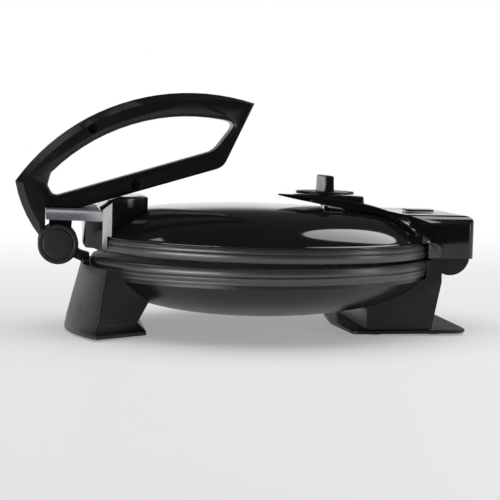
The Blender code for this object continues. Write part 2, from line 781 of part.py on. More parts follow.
def make_pads(looks, base):
    """Rubber pads under both feet."""
    front, rear = drawn_from(base, -PLATE_RADIUS), drawn_from(base, PLATE_RADIUS)
    spots = [
        ("pad_front_near", FRONT_PAD_X, FRONT_PAD_Y, front),
        ("pad_front_far", -FRONT_PAD_X, FRONT_PAD_Y, front),
        ("pad_rear_near_front", REAR_PAD_X, REAR_PAD_FRONT_Y, rear),
        ("pad_rear_far_front", -REAR_PAD_X, REAR_PAD_FRONT_Y, rear),
        ("pad_rear_near_back", REAR_PAD_X, REAR_PAD_BACK_Y, rear),
        ("pad_rear_far_back", -REAR_PAD_X, REAR_PAD_BACK_Y, rear),
    ]
    profile = [(0.0, 0.0), (PAD_RADIUS, 0.0), (PAD_RADIUS, PAD_HEIGHT), (0.0, PAD_HEIGHT)]
    for name, across, along, group in spots:
        centre = (across, along, -PLATE_HEIGHT)
        turned_along(name, profile, centre, (0, 0, 1), looks["rubber"], group, 20)


def pivot_in_base():
    """The handle's pivot, seen from the base, with the lid at rest on its tilt."""
    hinge = 2 * PLATE_RADIUS + HINGE_Y
    across = PIVOT_Y - hinge
    up = PIVOT_Z - HINGE_Z
    cosine, sine = math.cos(LID_REST_TILT), math.sin(LID_REST_TILT)
    return hinge + across * cosine + up * sine, HINGE_Z + up * cosine - across * sine


def make_front_yoke(looks, base):
    """The open yoke on the front foot in which the pivot pin beds when the lid is down."""
    middle = pivot_in_base()
    slot = PIVOT_PIN_RADIUS + GAP
    crown = middle[1] + YOKE_CROWN_Z
    rise = math.degrees(math.asin(YOKE_CROWN_Z / YOKE_HEAD_RADIUS))
    floor = -FOOT_TOP_DROP + GAP
    outline = [(YOKE_BACK_Y, floor), (YOKE_BACK_Y, YOKE_TOP_Z), (YOKE_WAIST_Y, YOKE_WAIST_Z)]
    outline += [(middle[0] + YOKE_HEAD_RADIUS * math.cos(math.radians(rise)), crown)]
    outline += [(middle[0] + slot, crown)]
    outline += arc(middle, slot, 0, -180, 10)
    outline += [(middle[0] - slot, crown)]
    outline += arc(middle, YOKE_HEAD_RADIUS, 180 - rise, 300, 10)
    outline += [(YOKE_FRONT_Y, floor)]
    yoke = prism("front_yoke", outline, -YOKE_HALF, YOKE_HALF, "X", looks["satin"], base)
    flange = [
        (YOKE_FRONT_Y, floor),
        (YOKE_BACK_Y, floor),
        (YOKE_BACK_Y, floor + YOKE_FLANGE),
        (YOKE_FRONT_Y, floor + YOKE_FLANGE),
    ]
    shape = cutter(prism("yoke_flange", flange, -YOKE_FLANGE_HALF, YOKE_FLANGE_HALF, "X", None, base))
    combine(yoke, shape, "UNION")


def bracket_side():
    """Side outline of the front bracket without its tongue."""
    return rounded(
        [
            ((SKIRT_FRONT_Y, SKIRT_BOTTOM_Z), SKIRT_CORNER_RADIUS),
            ((LEAF_BACK[1], SKIRT_BOTTOM_Z), 0),
            ((LEAF_BACK[1], LEAF_BACK_Z), 0),
            ((LEAF_TOP_Y, LEAF_TOP_Z), 0),
            ((LEAF_RISE_Y, LEAF_RISE_Z), 0),
            ((LEAF_FOOT_Y, TONGUE_TOP_Z), 0),
            ((SKIRT_FRONT_Y, TONGUE_TOP_Z), 0),
        ]
    )


def make_front_bracket(looks, lid):
    """Front bracket of the lid: skirt, leaf over the dome, tongue and two pivot lugs."""
    widest = SKIRT_WAIST[0] + OVERRUN
    bracket = prism("front_bracket", bracket_side(), -widest, widest, "X", looks["gloss"], lid)
    half = [(0.0, SKIRT_FRONT_Y), SKIRT_CORNER, SKIRT_SHOULDER, SKIRT_WAIST, LEAF_SIDE, LEAF_BACK]
    plan = mirrored(half)
    shape = prism("bracket_plan", plan, -OVERRUN, LEAF_BACK_Z + OVERRUN, "Z", None, lid)
    combine(bracket, cutter(shape), "INTERSECT")

    top = TONGUE_TOP_Z
    tip = (TONGUE_TIP_HALF, TONGUE_TIP_Y)
    tongue = mirrored([(0.0, TONGUE_TIP_Y), tip, SKIRT_SHOULDER, (SKIRT_SHOULDER[0], LEAF_RISE_Y)])
    shape = prism("tongue_shape", tongue, top - TONGUE_THICKNESS, top, "Z", None, lid)
    combine(bracket, cutter(shape), "UNION")
    bevel(bracket, BRACKET_BEVEL, 2, math.radians(40))

    dish = arc((PIVOT_Y, PIVOT_Z), top - PIVOT_Z - GAP, 90, 130, 8)
    dish += [(dish[-1][0], top + OVERRUN), (PIVOT_Y, top + OVERRUN)]
    wide = HANDLE_HALF_WIDTH + RUN_GAP
    combine(bracket, cutter(prism("heel_sweep", dish, -wide, wide, "X", None, lid)), "DIFFERENCE")

    lug = arc((PIVOT_Y, PIVOT_Z), LUG_RADIUS, 150, 350, 14)
    lug += [(LUG_BACK_Y, top - TONGUE_THICKNESS / 2), (LUG_FRONT_Y, top - TONGUE_THICKNESS / 2)]
    for side, name in ((1, "lug_near"), (-1, "lug_far")):
        ends = sorted((side * LUG_INNER_X, side * LUG_OUTER_X))
        combine(bracket, cutter(prism(name, lug, *ends, "X", None, lid)), "UNION")

    bore = arc((PIVOT_Y, PIVOT_Z), PIVOT_PIN_RADIUS + GAP, 0, 340, 17)
    shape = prism("lug_bore", bore, -LUG_OUTER_X - OVERRUN, LUG_OUTER_X + OVERRUN, "X", None, lid)
    combine(bracket, cutter(shape), "DIFFERENCE")
    combine(bracket, lid_envelope("bracket_clearance", lid, GAP), "DIFFERENCE")


def arm_side():
    """Side outline of the arm: a thin beak over the dome, a crest and a slope."""
    return [
        (ARM_TIP_Y, ARM_TIP_Z - BEAK_TIP),
        (ARM_TIP_Y, ARM_TIP_Z),
        (ARM_CREST_Y, ARM_CREST_Z),
        (ARM_SLOPE_Y, ARM_SLOPE_Z),
        (ARM_FOOT_Y, DRUM_TOP_Z - GAP),
        (HINGE_Y, DRUM_TOP_Z - DRUM_SHOULDER),
        (HINGE_Y, DRUM_BOTTOM_Z + GAP),
        (BEAK_ROOT[0], DRUM_BOTTOM_Z + GAP),
        BEAK_ROOT,
        BEAK_MIDDLE,
    ]


def arm_plan(grow):
    """Half plan outline of the arm from its point to the drum."""
    waist = ARM_WAIST_HALF + grow
    half = [(0.0, ARM_TIP_Y)]
    point = (ARM_POINT_HALF, ARM_POINT_Y)
    half += bezier(point, (waist, ARM_POINT_Y + ARM_POINT_HALF), (waist, ARM_WAIST_Y), 5)
    return half


def drum_body(lid):
    """Helper for the drum: round shoulders along the sides and round back corners."""
    corner = DRUM_BACK_RADIUS
    side = rounded(
        [
            ((ARM_SLOPE_Y, DRUM_BOTTOM_Z), 0),
            ((ARM_SLOPE_Y, DRUM_TOP_Z), 0),
            ((DRUM_BACK_Y, DRUM_TOP_Z), corner),
            ((DRUM_BACK_Y, DRUM_BOTTOM_Z), 0),
        ]
    )
    drum = prism("drum_side", side, -DRUM_HALF, DRUM_HALF, "X", None, lid)
    half = [(0.0, ARM_SLOPE_Y - GAP), (ARM_END_HALF, ARM_SLOPE_Y - GAP), (DRUM_HALF + GAP, ARM_FOOT_Y)]
    half += arc((DRUM_HALF + GAP - corner, DRUM_BACK_Y + GAP - corner), corner, 0, 90, 4)
    shape = prism("drum_plan", mirrored(half), -OVERRUN, DRUM_TOP_Z + OVERRUN, "Z", None, lid)
    combine(drum, cutter(shape), "INTERSECT")
    shoulder = DRUM_HALF + 2 * GAP - DRUM_SHOULDER
    section = [(0.0, -OVERRUN), (DRUM_HALF + 2 * GAP, -OVERRUN)]
    section += arc((shoulder, DRUM_TOP_Z + GAP - DRUM_SHOULDER), DRUM_SHOULDER, 0, 90, 6)
    bm = prism_mesh(mirrored(section), -DRUM_BACK_Y - OVERRUN, OVERRUN - ARM_SLOPE_Y, "Z")
    turn = Matrix.Rotation(math.pi / 2, 3, "X")
    bmesh.ops.rotate(bm, verts=bm.verts, cent=(0, 0, 0), matrix=turn)
    combine(drum, cutter(place("drum_section", bm, None, lid)), "INTERSECT")
    return cutter(drum)


def wing_body(lid):
    """Helper for the flared skirt of the arm that follows the dome down to its rim."""
    low = DRUM_BOTTOM_Z + 2 * GAP
    side = [WING_TOP, WING_MIDDLE, WING_FOOT, (WING_FOOT[0], low), (WING_TOP[0], low)]
    widest = WING_TIP[0] + OVERRUN
    wing = prism("wing_side", side, -widest, widest, "X", None, lid)
    half = [(0.0, WING_TOP[0] - GAP), (ARM_WAIST_HALF + HOUSING_WALL, WING_TOP[0] - GAP)]
    half += [WING_WAIST, WING_SHOULDER, WING_TIP, (DRUM_HALF - GAP, WING_FOOT[0] + GAP)]
    shape = prism("wing_plan", mirrored(half), -OVERRUN, PLATFORM_Z, "Z", None, lid)
    combine(wing, cutter(shape), "INTERSECT")
    return cutter(wing)


def platform_body(lid):
    """Helper for the raised platform under the dial."""
    low = ARM_SLOPE_Z - GAP
    side = [
        (PLATFORM_FRONT_Y, low),
        (PLATFORM_FRONT_Y, PLATFORM_Z),
        (PLATFORM_BACK_Y, PLATFORM_Z),
        PLATFORM_RAMP,
        (PLATFORM_END_Y, low),
    ]
    platform = prism("platform_side", side, -PLATFORM_HALF, PLATFORM_HALF, "X", None, lid)
    wide = PLATFORM_HALF + GAP
    half = arc((0.0, KNOB_Y), wide, -90, 0, 8)
    half.append((wide, PLATFORM_END_Y + GAP))
    shape = prism("platform_plan", mirrored(half), low - OVERRUN, PLATFORM_Z + OVERRUN, "Z", None, lid)
    combine(platform, cutter(shape), "INTERSECT")
    return cutter(platform)


def make_rear_housing(looks, lid):
    """Rear housing of the lid: arm over the dome, dial platform and hooded hinge."""
    widest = DRUM_HALF + OVERRUN
    housing = prism("rear_housing", arm_side(), -widest, widest, "X", looks["gloss"], lid)
    half = arm_plan(0.0)
    half += [(ARM_END_HALF, ARM_END_Y), (DRUM_HALF - GAP, ARM_FOOT_Y), (DRUM_HALF - GAP, HINGE_Y + GAP)]
    shape = prism("arm_plan", mirrored(half), -OVERRUN, PLATFORM_Z + OVERRUN, "Z", None, lid)
    combine(housing, cutter(shape), "INTERSECT")
    combine(housing, wing_body(lid), "UNION")
    combine(housing, drum_body(lid), "UNION")
    combine(housing, platform_body(lid), "UNION")
    bevel(housing, HOUSING_BEVEL, 2, math.radians(38))
    combine(housing, lid_envelope("housing_clearance", lid, LID_SLOT), "DIFFERENCE")

    inner = DRUM_HALF - HOUSING_WALL
    box = [
        (CAVITY_FRONT_Y, -OVERRUN),
        (DRUM_BACK_Y - HOUSING_WALL - GAP, -OVERRUN),
        (DRUM_BACK_Y - HOUSING_WALL - GAP, CAVITY_TOP_Z),
        (CAVITY_FRONT_Y, CAVITY_TOP_Z),
    ]
    combine(housing, cutter(prism("housing_cavity", box, -inner, inner, "X", None, lid)), "DIFFERENCE")
    lid_knuckles(housing, lid)
    combine(housing, hinge_bore("lid_hinge_bore", lid), "DIFFERENCE")
    combine(housing, shaft_hole("arm_shaft_hole", lid), "DIFFERENCE")
    for name, along in (("power_well", POWER_LAMP_Y), ("ready_well", READY_LAMP_Y)):
        depth = LAMP_HEIGHT + 2 * GAP
        radius = LAMP_RADIUS + GAP
        profile = [(0.0, -depth), (radius, -depth), (radius, OVERRUN), (0.0, OVERRUN)]
        well = turned_along(name, profile, (0, along, DRUM_TOP_Z), (0, 0, 1), None, lid, 20)
        combine(housing, cutter(well), "DIFFERENCE")


def make_indicator(looks, lid):
    """Dark indicator lens on the housing over a red and a green lamp."""
    radius = LENS_HALF_WIDTH * LENS_CORNER_SHARE
    outline = rounded(
        [
            ((-LENS_HALF_WIDTH, LENS_FRONT_Y), radius),
            ((LENS_HALF_WIDTH, LENS_FRONT_Y), radius),
            ((LENS_HALF_WIDTH, LENS_BACK_Y), radius),
            ((-LENS_HALF_WIDTH, LENS_BACK_Y), radius),
        ]
    )
    low = DRUM_TOP_Z + GAP
    lens = prism("indicator_lens", outline, low, low + LENS_HEIGHT, "Z", looks["lens"], lid)
    bevel(lens, LENS_HEIGHT / 4, 2)
    profile = [(0.0, 0.0), (LAMP_RADIUS, 0.0), (LAMP_RADIUS, LAMP_HEIGHT), (0.0, LAMP_HEIGHT)]
    base_z = DRUM_TOP_Z - LAMP_HEIGHT - GAP
    for name, along, look in (("power_lamp", POWER_LAMP_Y, "red"), ("ready_lamp", READY_LAMP_Y, "green")):
        turned_along(name, profile, (0, along, base_z), (0, 0, 1), looks[look], lid, 16)


def make_thermostat(looks, lid, knob, shield_top):
    """Thermostat on the lid's heat shield, its shaft and its knob."""
    half = THERMOSTAT_WIDTH / 2
    body = [(-half, KNOB_Y - half), (half, KNOB_Y - half), (half, KNOB_Y + half), (-half, KNOB_Y + half)]
    top = shield_top + THERMOSTAT_HEIGHT
    box = prism("thermostat_body", body, shield_top, top, "Z", looks["ceramic"], lid)
    bevel(box, THERMOSTAT_HEIGHT / 12, 1)

    disc = PLATFORM_Z + KNOB_LIFT
    centre = (0, KNOB_Y, 0)
    face = disc + KNOB_DISC
    end = disc + SHAFT_IN_KNOB
    profile = [(0.0, top + GAP), (SHAFT_RADIUS, top + GAP), (SHAFT_RADIUS, end), (0.0, end)]
    turned_along("thermostat_shaft", profile, centre, (0, 0, 1), looks["steel"], knob, 20)

    profile = [(0.0, disc), (KNOB_RADIUS, disc), (KNOB_RADIUS, face - KNOB_BEVEL)]
    profile += [(KNOB_RADIUS - KNOB_BEVEL, face), (0.0, face)]
    dial = turned_along("thermostat_knob", profile, centre, (0, 0, 1), looks["knob"], knob, 48)
    wide = GRIP_WIDTH / 2
    corner = wide / 3
    outline = rounded(
        [
            ((-GRIP_HALF_LENGTH, KNOB_Y - wide), corner),
            ((GRIP_HALF_LENGTH, KNOB_Y - wide), corner),
            ((GRIP_HALF_LENGTH, KNOB_Y + wide), corner),
            ((-GRIP_HALF_LENGTH, KNOB_Y + wide), corner),
        ]
    )
    grip = prism("knob_grip", outline, disc + KNOB_BEVEL, disc + KNOB_DISC + GRIP_HEIGHT, "Z", None, knob)
    bevel(grip, KNOB_BEVEL, 2)
    combine(dial, cutter(grip), "UNION")
    radius = SHAFT_RADIUS + GAP
    profile = [(0.0, disc - OVERRUN), (radius, disc - OVERRUN), (radius, end + GAP), (0.0, end + GAP)]
    socket = turned_along("knob_socket", profile, centre, (0, 0, 1), None, knob, 20)
    combine(dial, cutter(socket), "DIFFERENCE")


def make_terminal_block(looks, base, shield_low):
    """Ceramic terminal block under the lower heat shield."""
    half_x, half_y = TERMINAL_LENGTH / 2, TERMINAL_WIDTH / 2
    outline = [
        (-half_x, TERMINAL_Y - half_y),
        (half_x, TERMINAL_Y - half_y),
        (half_x, TERMINAL_Y + half_y),
        (-half_x, TERMINAL_Y + half_y),
    ]
    low = shield_low - TERMINAL_HEIGHT
    block = prism("terminal_block", outline, low, shield_low, "Z", looks["ceramic"], base)
    bevel(block, TERMINAL_HEIGHT / 12, 1)


def handle_arc():
    """Middle, radius and both end angles of the arc from the handle's vertex to its tip."""
    vertex, tip = Vector(HANDLE_VERTEX), Vector(HANDLE_TIP)
    chord = tip - vertex
    depth = math.sqrt(HANDLE_ARC_RADIUS**2 - chord.length_squared / 4)
    middle = (vertex + tip) / 2 + Vector((chord.y, -chord.x)).normalized() * depth
    start, end = vertex - middle, tip - middle
    angles = [math.degrees(math.atan2(reach.y, reach.x)) for reach in (start, end)]
    return middle, HANDLE_ARC_RADIUS, *angles


def handle_outer():
    """Outer outline of the press handle, with the chamfer that each point carries."""
    top = arc(*handle_arc(), 22)
    heel = TONGUE_TOP_Z + GAP
    leg = PIVOT_Y - LEG_INNER
    lower = rounded(
        [
            (top[-1], 0),
            ((HANDLE_TAIL_Y, HANDLE_TAIL_Z), HANDLE_TAIL_RADIUS),
            ((HEEL_END_Y, heel), HEEL_FILLET),
            ((leg, heel), HEEL_FILLET * HEEL_CORNER_SHARE),
            ((leg, PIVOT_Z), 0),
        ]
    )[1:-1]
    open_angle = 180 - math.degrees(math.acos(LEG_INNER / HUB_RADIUS))
    reach = math.hypot(LEG_FOOT_Y - PIVOT_Y, LEG_FOOT_Z - PIVOT_Z)
    close = math.degrees(math.atan2(LEG_FOOT_Z - PIVOT_Z, LEG_FOOT_Y - PIVOT_Y)) - 360
    lean = math.degrees(math.acos(min(reach / HUB_RADIUS, 1.0)))
    hub = arc((PIVOT_Y, PIVOT_Z), HUB_RADIUS, open_angle, close + lean, 22)
    foot = Vector((LEG_FOOT_Y, LEG_FOOT_Z))
    vertex = Vector(top[0])
    along = (vertex - foot).normalized()
    pull = (foot + vertex) / 2 + Vector((-along.y, along.x)) * 2 * LEG_BULGE
    leg_side = bezier(foot, pull, vertex, 5)[:-1]
    fade = len(top) // 4
    widths = [OUTER_CHAMFER] * (len(top) - fade)
    widths += [OUTER_CHAMFER + (SMALL_CHAMFER - OUTER_CHAMFER) * (step + 1) / fade for step in range(fade)]
    widths += [SMALL_CHAMFER] * (len(lower) + len(hub) + 1)
    widths += [OUTER_CHAMFER] * (len(leg_side) - 1)
    return top + lower + hub + leg_side, widths


def handle_opening():
    """Outline of the grip opening."""
    middle = handle_arc()[0] - Vector((0, GRIP_ARC_DROP))
    radius = HANDLE_ARC_RADIUS - HANDLE_TOP_BAR
    tip_y = HANDLE_TIP[0] - HANDLE_BACK_BAR
    left = 180 - math.degrees(math.acos((middle.x - GRIP_LEFT_Y + INNER_FILLET) / radius))
    right = math.degrees(math.acos((tip_y - middle.x) / radius))
    top = arc(middle, radius, left, right, 16)
    slope = (HANDLE_TAIL_Z - TONGUE_TOP_Z) / (HANDLE_TAIL_Y - HEEL_END_Y)
    lift = HANDLE_BAR * math.hypot(1.0, slope)

    def bar(along):
        return TONGUE_TOP_Z + lift + slope * (along - HEEL_END_Y)

    tail_y = HANDLE_TAIL_Y - HANDLE_BACK_BAR / 2
    corners = [(point, 0) for point in top[1:-1]]
    corners += [((tip_y, top[-1][1]), GRIP_TIP_RADIUS)]
    corners += [((tail_y, bar(tail_y)), GRIP_TAIL_RADIUS)]
    corners += [((GRIP_CORNER_Y, bar(GRIP_CORNER_Y)), GRIP_LEFT_RADIUS)]
    corners += [((GRIP_LEFT_Y, GRIP_LEFT_Z), GRIP_LEFT_RADIUS)]
    return rounded(corners)


def offset(outline, widths):
    """Move each point of a clockwise outline inward by its own width."""
    moved = []
    count = len(outline)
    for index, point in enumerate(outline):
        here = Vector(point)
        before = (here - Vector(outline[index - 1])).normalized()
        after = (Vector(outline[(index + 1) % count]) - here).normalized()
        first = Vector((before.y, -before.x))
        second = Vector((after.y, -after.x))
        normal = (first + second).normalized()
        moved.append(tuple(here + normal * widths[index] / max(normal.dot(first), 0.4)))
    return moved


def handle_shell(name, side, looks, handle):
    """One half shell of the press handle."""
    outer, widths = handle_outer()
    opening = handle_opening()
    wide = HANDLE_HALF_WIDTH
    rise = INNER_FILLET * (1 - math.cos(math.radians(45)))
    run = INNER_FILLET * math.sin(math.radians(45))
    bm = bmesh.new()

    def ring(outline, depth):
        return [bm.verts.new((side * x, y, z)) for x, (y, z) in zip(depth, outline)]

    count = len(opening)
    grown = [(p, offset(opening, [-p] * count)) for p in (INNER_FILLET - run, INNER_FILLET)]
    outer_rings = [
        ring(outer, [PARTING] * len(outer)),
        ring(outer, [wide - width for width in widths]),
        ring(offset(outer, widths), [wide] * len(outer)),
    ]
    inner_rings = [
        ring(opening, [PARTING] * count),
        ring(opening, [wide - INNER_FILLET] * count),
        ring(grown[0][1], [wide - rise] * count),
        ring(grown[1][1], [wide] * count),
    ]
    join_rings(bm, outer_rings)
    join_rings(bm, inner_rings)
    for pair in ((outer_rings[0], inner_rings[0]), (outer_rings[-1], inner_rings[-1])):
        edges = []
        for loop in pair:
            edges += [bm.edges.get((loop[i - 1], loop[i])) for i in range(len(loop))]
        bmesh.ops.triangle_fill(bm, edges=edges, use_beauty=True)
    shell = place(name, bm, looks["handle"], handle)

    fork = [(-OVERRUN, -OVERRUN), (OVERRUN, -OVERRUN)]
    heel = TONGUE_TOP_Z - TONGUE_THICKNESS - PIVOT_Z - GAP
    fork += [(OVERRUN, heel), (-LEG_INNER + GAP, heel)]
    fork += [(-LEG_INNER + GAP, FORK_FRONT_Z), (-OVERRUN, FORK_FRONT_Z)]
    outline = [(PIVOT_Y + y, PIVOT_Z + z) for y, z in fork]
    shape = prism(name + "_fork", outline, -FORK_HALF, FORK_HALF, "X", None, handle)
    combine(shell, cutter(shape), "DIFFERENCE")
    bore = arc((PIVOT_Y, PIVOT_Z), PIVOT_PIN_RADIUS + GAP, 0, 340, 17)
    ends = sorted((side * (FORK_HALF - GAP), side * (PIVOT_PIN_HALF + GAP)))
    combine(shell, cutter(prism(name + "_bore", bore, *ends, "X", None, handle)), "DIFFERENCE")
    for label, spot in (("_upper", upper_screw()), ("_lower", LOWER_SCREW)):
        hole = screw_hole(name + label, spot, handle)
        combine(shell, hole, "DIFFERENCE")


def upper_screw():
    """Place of the upper screw, in the middle of the handle's arched bar."""
    middle, radius, start, end = handle_arc()
    turn = math.radians(start + (end - start) * UPPER_SCREW_SHARE)
    reach = radius - UPPER_SCREW_DEPTH
    return middle.x + reach * math.cos(turn), middle.y + reach * math.sin(turn)


def screw_hole(name, spot, handle):
    """Cutter for a screw: a recess on the near side, then the shank's bore."""
    face = HANDLE_HALF_WIDTH
    seat = face - SCREW_RECESS
    end = face - SCREW_LENGTH
    wide, narrow = SCREW_HEAD_RADIUS + GAP, SCREW_SHANK_RADIUS + GAP
    profile = [
        (0.0, end - GAP),
        (narrow, end - GAP),
        (narrow, seat - SCREW_HEAD - GAP),
        (wide, seat - SCREW_HEAD - GAP),
        (wide, face + OVERRUN),
        (0.0, face + OVERRUN),
    ]
    return cutter(turned_along(name, profile, (0, *spot), (1, 0, 0), None, handle, 20))


def make_handle(looks, lid, handle):
    """The press handle: two shells, screws, pivot pin and hub caps."""
    handle_shell("handle_shell_near", 1, looks, handle)
    handle_shell("handle_shell_far", -1, looks, handle)
    seat = HANDLE_HALF_WIDTH - SCREW_RECESS
    end = HANDLE_HALF_WIDTH - SCREW_LENGTH
    profile = [
        (0.0, end),
        (SCREW_SHANK_RADIUS, end),
        (SCREW_SHANK_RADIUS, seat - SCREW_HEAD),
        (SCREW_HEAD_RADIUS, seat - SCREW_HEAD),
        (SCREW_HEAD_RADIUS, seat),
        (0.0, seat),
    ]
    for name, spot in (("handle_screw_upper", upper_screw()), ("handle_screw_lower", LOWER_SCREW)):
        turned_along(name, profile, (0, *spot), (1, 0, 0), looks["steel"], handle, 20)
    outline = arc((PIVOT_Y, PIVOT_Z), PIVOT_PIN_RADIUS, 0, 340, 17)
    prism("pivot_pin", outline, -PIVOT_PIN_HALF, PIVOT_PIN_HALF, "X", looks["steel"], lid)
    profile = [
        (0.0, 0.0),
        (CAP_RADIUS, 0.0),
        (CAP_RADIUS, CAP_THICKNESS / 2),
        (CAP_RADIUS - CAP_THICKNESS / 2, CAP_THICKNESS),
        (0.0, CAP_THICKNESS),
    ]
    for side, name in ((1, "hub_cap_near"), (-1, "hub_cap_far")):
        centre = (side * (HANDLE_HALF_WIDTH + GAP), PIVOT_Y, PIVOT_Z)
        turned_along(name, profile, centre, (side, 0, 0), looks["cap"], handle, 36)


def make_looks():
    """Colours and finishes."""
    return {
        "cast": material("Cast hotplate", (0.075, 0.075, 0.080), 0.38, 0.6),
        "bowl": material("Bowl enamel", (0.030, 0.030, 0.033), 0.35),
        "gloss": material("Gloss black", (0.008, 0.008, 0.009), 0.08),
        "satin": material("Satin black", (0.020, 0.020, 0.022), 0.32),
        "handle": material("Handle black", (0.014, 0.014, 0.018), 0.34),
        "cap": material("Matte cap", (0.022, 0.018, 0.019), 0.60),
        "knob": material("Knob black", (0.014, 0.014, 0.016), 0.30),
        "steel": material("Steel", (0.45, 0.45, 0.46), 0.35, 1.0),
        "foil": material("Heat shield", (0.60, 0.60, 0.60), 0.30, 1.0),
        "rubber": material("Rubber", (0.015, 0.015, 0.015), 0.80),
        "ceramic": material("Ceramic block", (0.62, 0.60, 0.55), 0.60),
        "lens": material("Smoked lens", (0.020, 0.012, 0.012), 0.10),
        "red": material("Red lamp", (0.55, 0.03, 0.02), 0.30),
        "green": material("Green lamp", (0.04, 0.35, 0.06), 0.30),
    }


def build():
    """Build the whole flatbread maker."""
    clear_scene()
    looks = make_looks()
    root = empty("plate_frame", (0, PLATE_Y, PLATE_HEIGHT))
    front_edge, rear_edge = -PLATE_RADIUS, PLATE_RADIUS
    lid_place = Vector((0, rear_edge + HINGE_Y, HINGE_Z))
    lid_axis = empty("lid_axis", lid_place, root, -LID_REST_TILT)
    pivot_place = Vector((0, front_edge + PIVOT_Y, PIVOT_Z))
    pivot = empty("handle_axis", pivot_place - lid_place, lid_axis)
    knob_place = Vector((0, rear_edge + KNOB_Y, PLATFORM_Z))
    dial = empty("knob_axis", knob_place - lid_place, lid_axis)
    base = (root, (0, 0, 0), 0.0)
    lid = (lid_axis, lid_place, 0.0)
    handle = (pivot, pivot_place, front_edge)
    knob = (dial, knob_place, rear_edge)
    base_front, base_rear = drawn_from(base, front_edge), drawn_from(base, rear_edge)
    lid_front, lid_rear = drawn_from(lid, front_edge), drawn_from(lid, rear_edge)

    make_plates(looks, base, lid)
    shield_low, shield_top = make_heating(looks, base, lid)
    make_bowl(looks, base)
    make_dome(looks, lid)
    make_rear_foot(looks, base_rear)
    make_grommet(looks, base_rear)
    make_front_foot(looks, base_front)
    make_pads(looks, base)
    make_front_yoke(looks, base_front)
    make_terminal_block(looks, base, shield_low)
    make_front_bracket(looks, lid_front)
    make_rear_housing(looks, lid_rear)
    make_indicator(looks, lid_rear)
    make_thermostat(looks, lid_rear, knob, shield_top)
    make_handle(looks, lid_front, handle)


build()
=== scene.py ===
# %% [markdown]
# # Dressing a flatbread maker
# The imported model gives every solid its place. This script loads it as a fixed frame and
# gives it the surfaces of the real thing: a glossy pressed dome, two cast hotplates with
# grooved rims, a satin handle, and mouldings with soft edges.
# Lengths are metres, +Z is up, the handle is toward -Y and the hinge toward +Y.

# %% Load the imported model
import math

import bmesh
import bpy
import numpy as np
from mathutils import Matrix, Vector


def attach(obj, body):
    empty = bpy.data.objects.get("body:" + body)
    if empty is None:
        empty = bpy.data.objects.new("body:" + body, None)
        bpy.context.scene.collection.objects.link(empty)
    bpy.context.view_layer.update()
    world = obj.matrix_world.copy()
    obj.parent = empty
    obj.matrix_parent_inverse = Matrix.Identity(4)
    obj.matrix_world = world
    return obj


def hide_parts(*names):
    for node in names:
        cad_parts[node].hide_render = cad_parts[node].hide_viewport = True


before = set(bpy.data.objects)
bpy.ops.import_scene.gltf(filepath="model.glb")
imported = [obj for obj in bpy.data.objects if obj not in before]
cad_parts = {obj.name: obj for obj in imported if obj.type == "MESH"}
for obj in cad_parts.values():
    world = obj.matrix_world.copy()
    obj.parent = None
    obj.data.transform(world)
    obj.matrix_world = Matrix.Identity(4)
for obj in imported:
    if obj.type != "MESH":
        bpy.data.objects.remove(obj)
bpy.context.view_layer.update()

# %% [markdown]
# ## Two frames to draw in
# A hotplate is easiest to draw round its own middle line. So pieces are drawn in the plate
# frame, whose origin is the middle of the lower cooking face, and are then moved to their
# place. The lid is drawn closed and afterwards turned a little about its hinge, because on
# the real object its front rests slightly raised.

# %% From the plate frame to the model
PLATE_MIDDLE = np.array([0.0, 0.01713, 0.059])
HINGE = np.array([0.0, 0.141, 0.0035])
LID_TILT = math.radians(0.85)


def on_base(points):
    """Plate frame to model: every point moves by the plate's middle."""
    return points + PLATE_MIDDLE


def on_lid(points):
    """Closed lid to model: turn about the hinge by the resting tilt, then move to the plate's middle."""
    cosine, sine = math.cos(LID_TILT), math.sin(LID_TILT)
    turn = np.array([[1.0, 0.0, 0.0], [0.0, cosine, sine], [0.0, -sine, cosine]])
    return (points - HINGE) @ turn.T + HINGE + PLATE_MIDDLE


print("hinge in the model", on_lid(HINGE))

# %% [markdown]
# ## Surfaces from a grid
# A turned piece is a profile carried round an axis, and a moulded one is an outline carried
# upward through levels. Both are a grid of points, so one function makes the mesh of any
# grid. It closes the grid sideways and puts a point on each end that is a pole.

# %% One mesh from one grid
def grid_mesh(name, grid, first_pole=None, last_pole=None, loop=False):
    """Mesh of a grid of rings: point (i, j) joins (i + 1, j) and (i, j + 1), with j going round.

    A pole closes the first or last ring with a fan; loop joins the last ring to the first.
    """
    rings, around = grid.shape[:2]
    index = np.arange(rings * around).reshape(rings, around)
    lower = index if loop else index[:-1]
    upper = np.roll(index, -1, axis=0) if loop else index[1:]
    quads = np.stack([lower, np.roll(lower, -1, 1), np.roll(upper, -1, 1), upper], -1).reshape(-1, 4)
    points, faces = [grid.reshape(-1, 3)], quads.tolist()
    count = rings * around
    for pole, ring in ((first_pole, index[0]), (last_pole, index[-1])):
        if pole is None:
            continue
        points.append(np.asarray(pole, float).reshape(1, 3))
        fan = np.stack([np.full(around, count), np.roll(ring, -1), ring], -1)
        faces += fan.tolist()
        count += 1
    mesh = bpy.data.meshes.new(name)
    mesh.from_pydata(np.concatenate(points).tolist(), [], faces)
    closed = bmesh.new()
    closed.from_mesh(mesh)
    bmesh.ops.recalc_face_normals(closed, faces=closed.faces)
    closed.to_mesh(mesh)
    closed.free()
    return mesh


def add_piece(mesh, body, finish, stands_for, crease=32):
    """Put a finished mesh in the scene: smooth with creased edges, on its body, with its finish."""
    piece = bpy.data.objects.new(mesh.name, mesh)
    bpy.context.scene.collection.objects.link(piece)
    mesh.shade_smooth()
    mesh.set_sharp_from_angle(angle=math.radians(crease))
    mesh.materials.append(finish)
    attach(piece, body)
    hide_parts(*stands_for)
    print(piece.name, len(mesh.polygons), "faces on", body)
    return piece


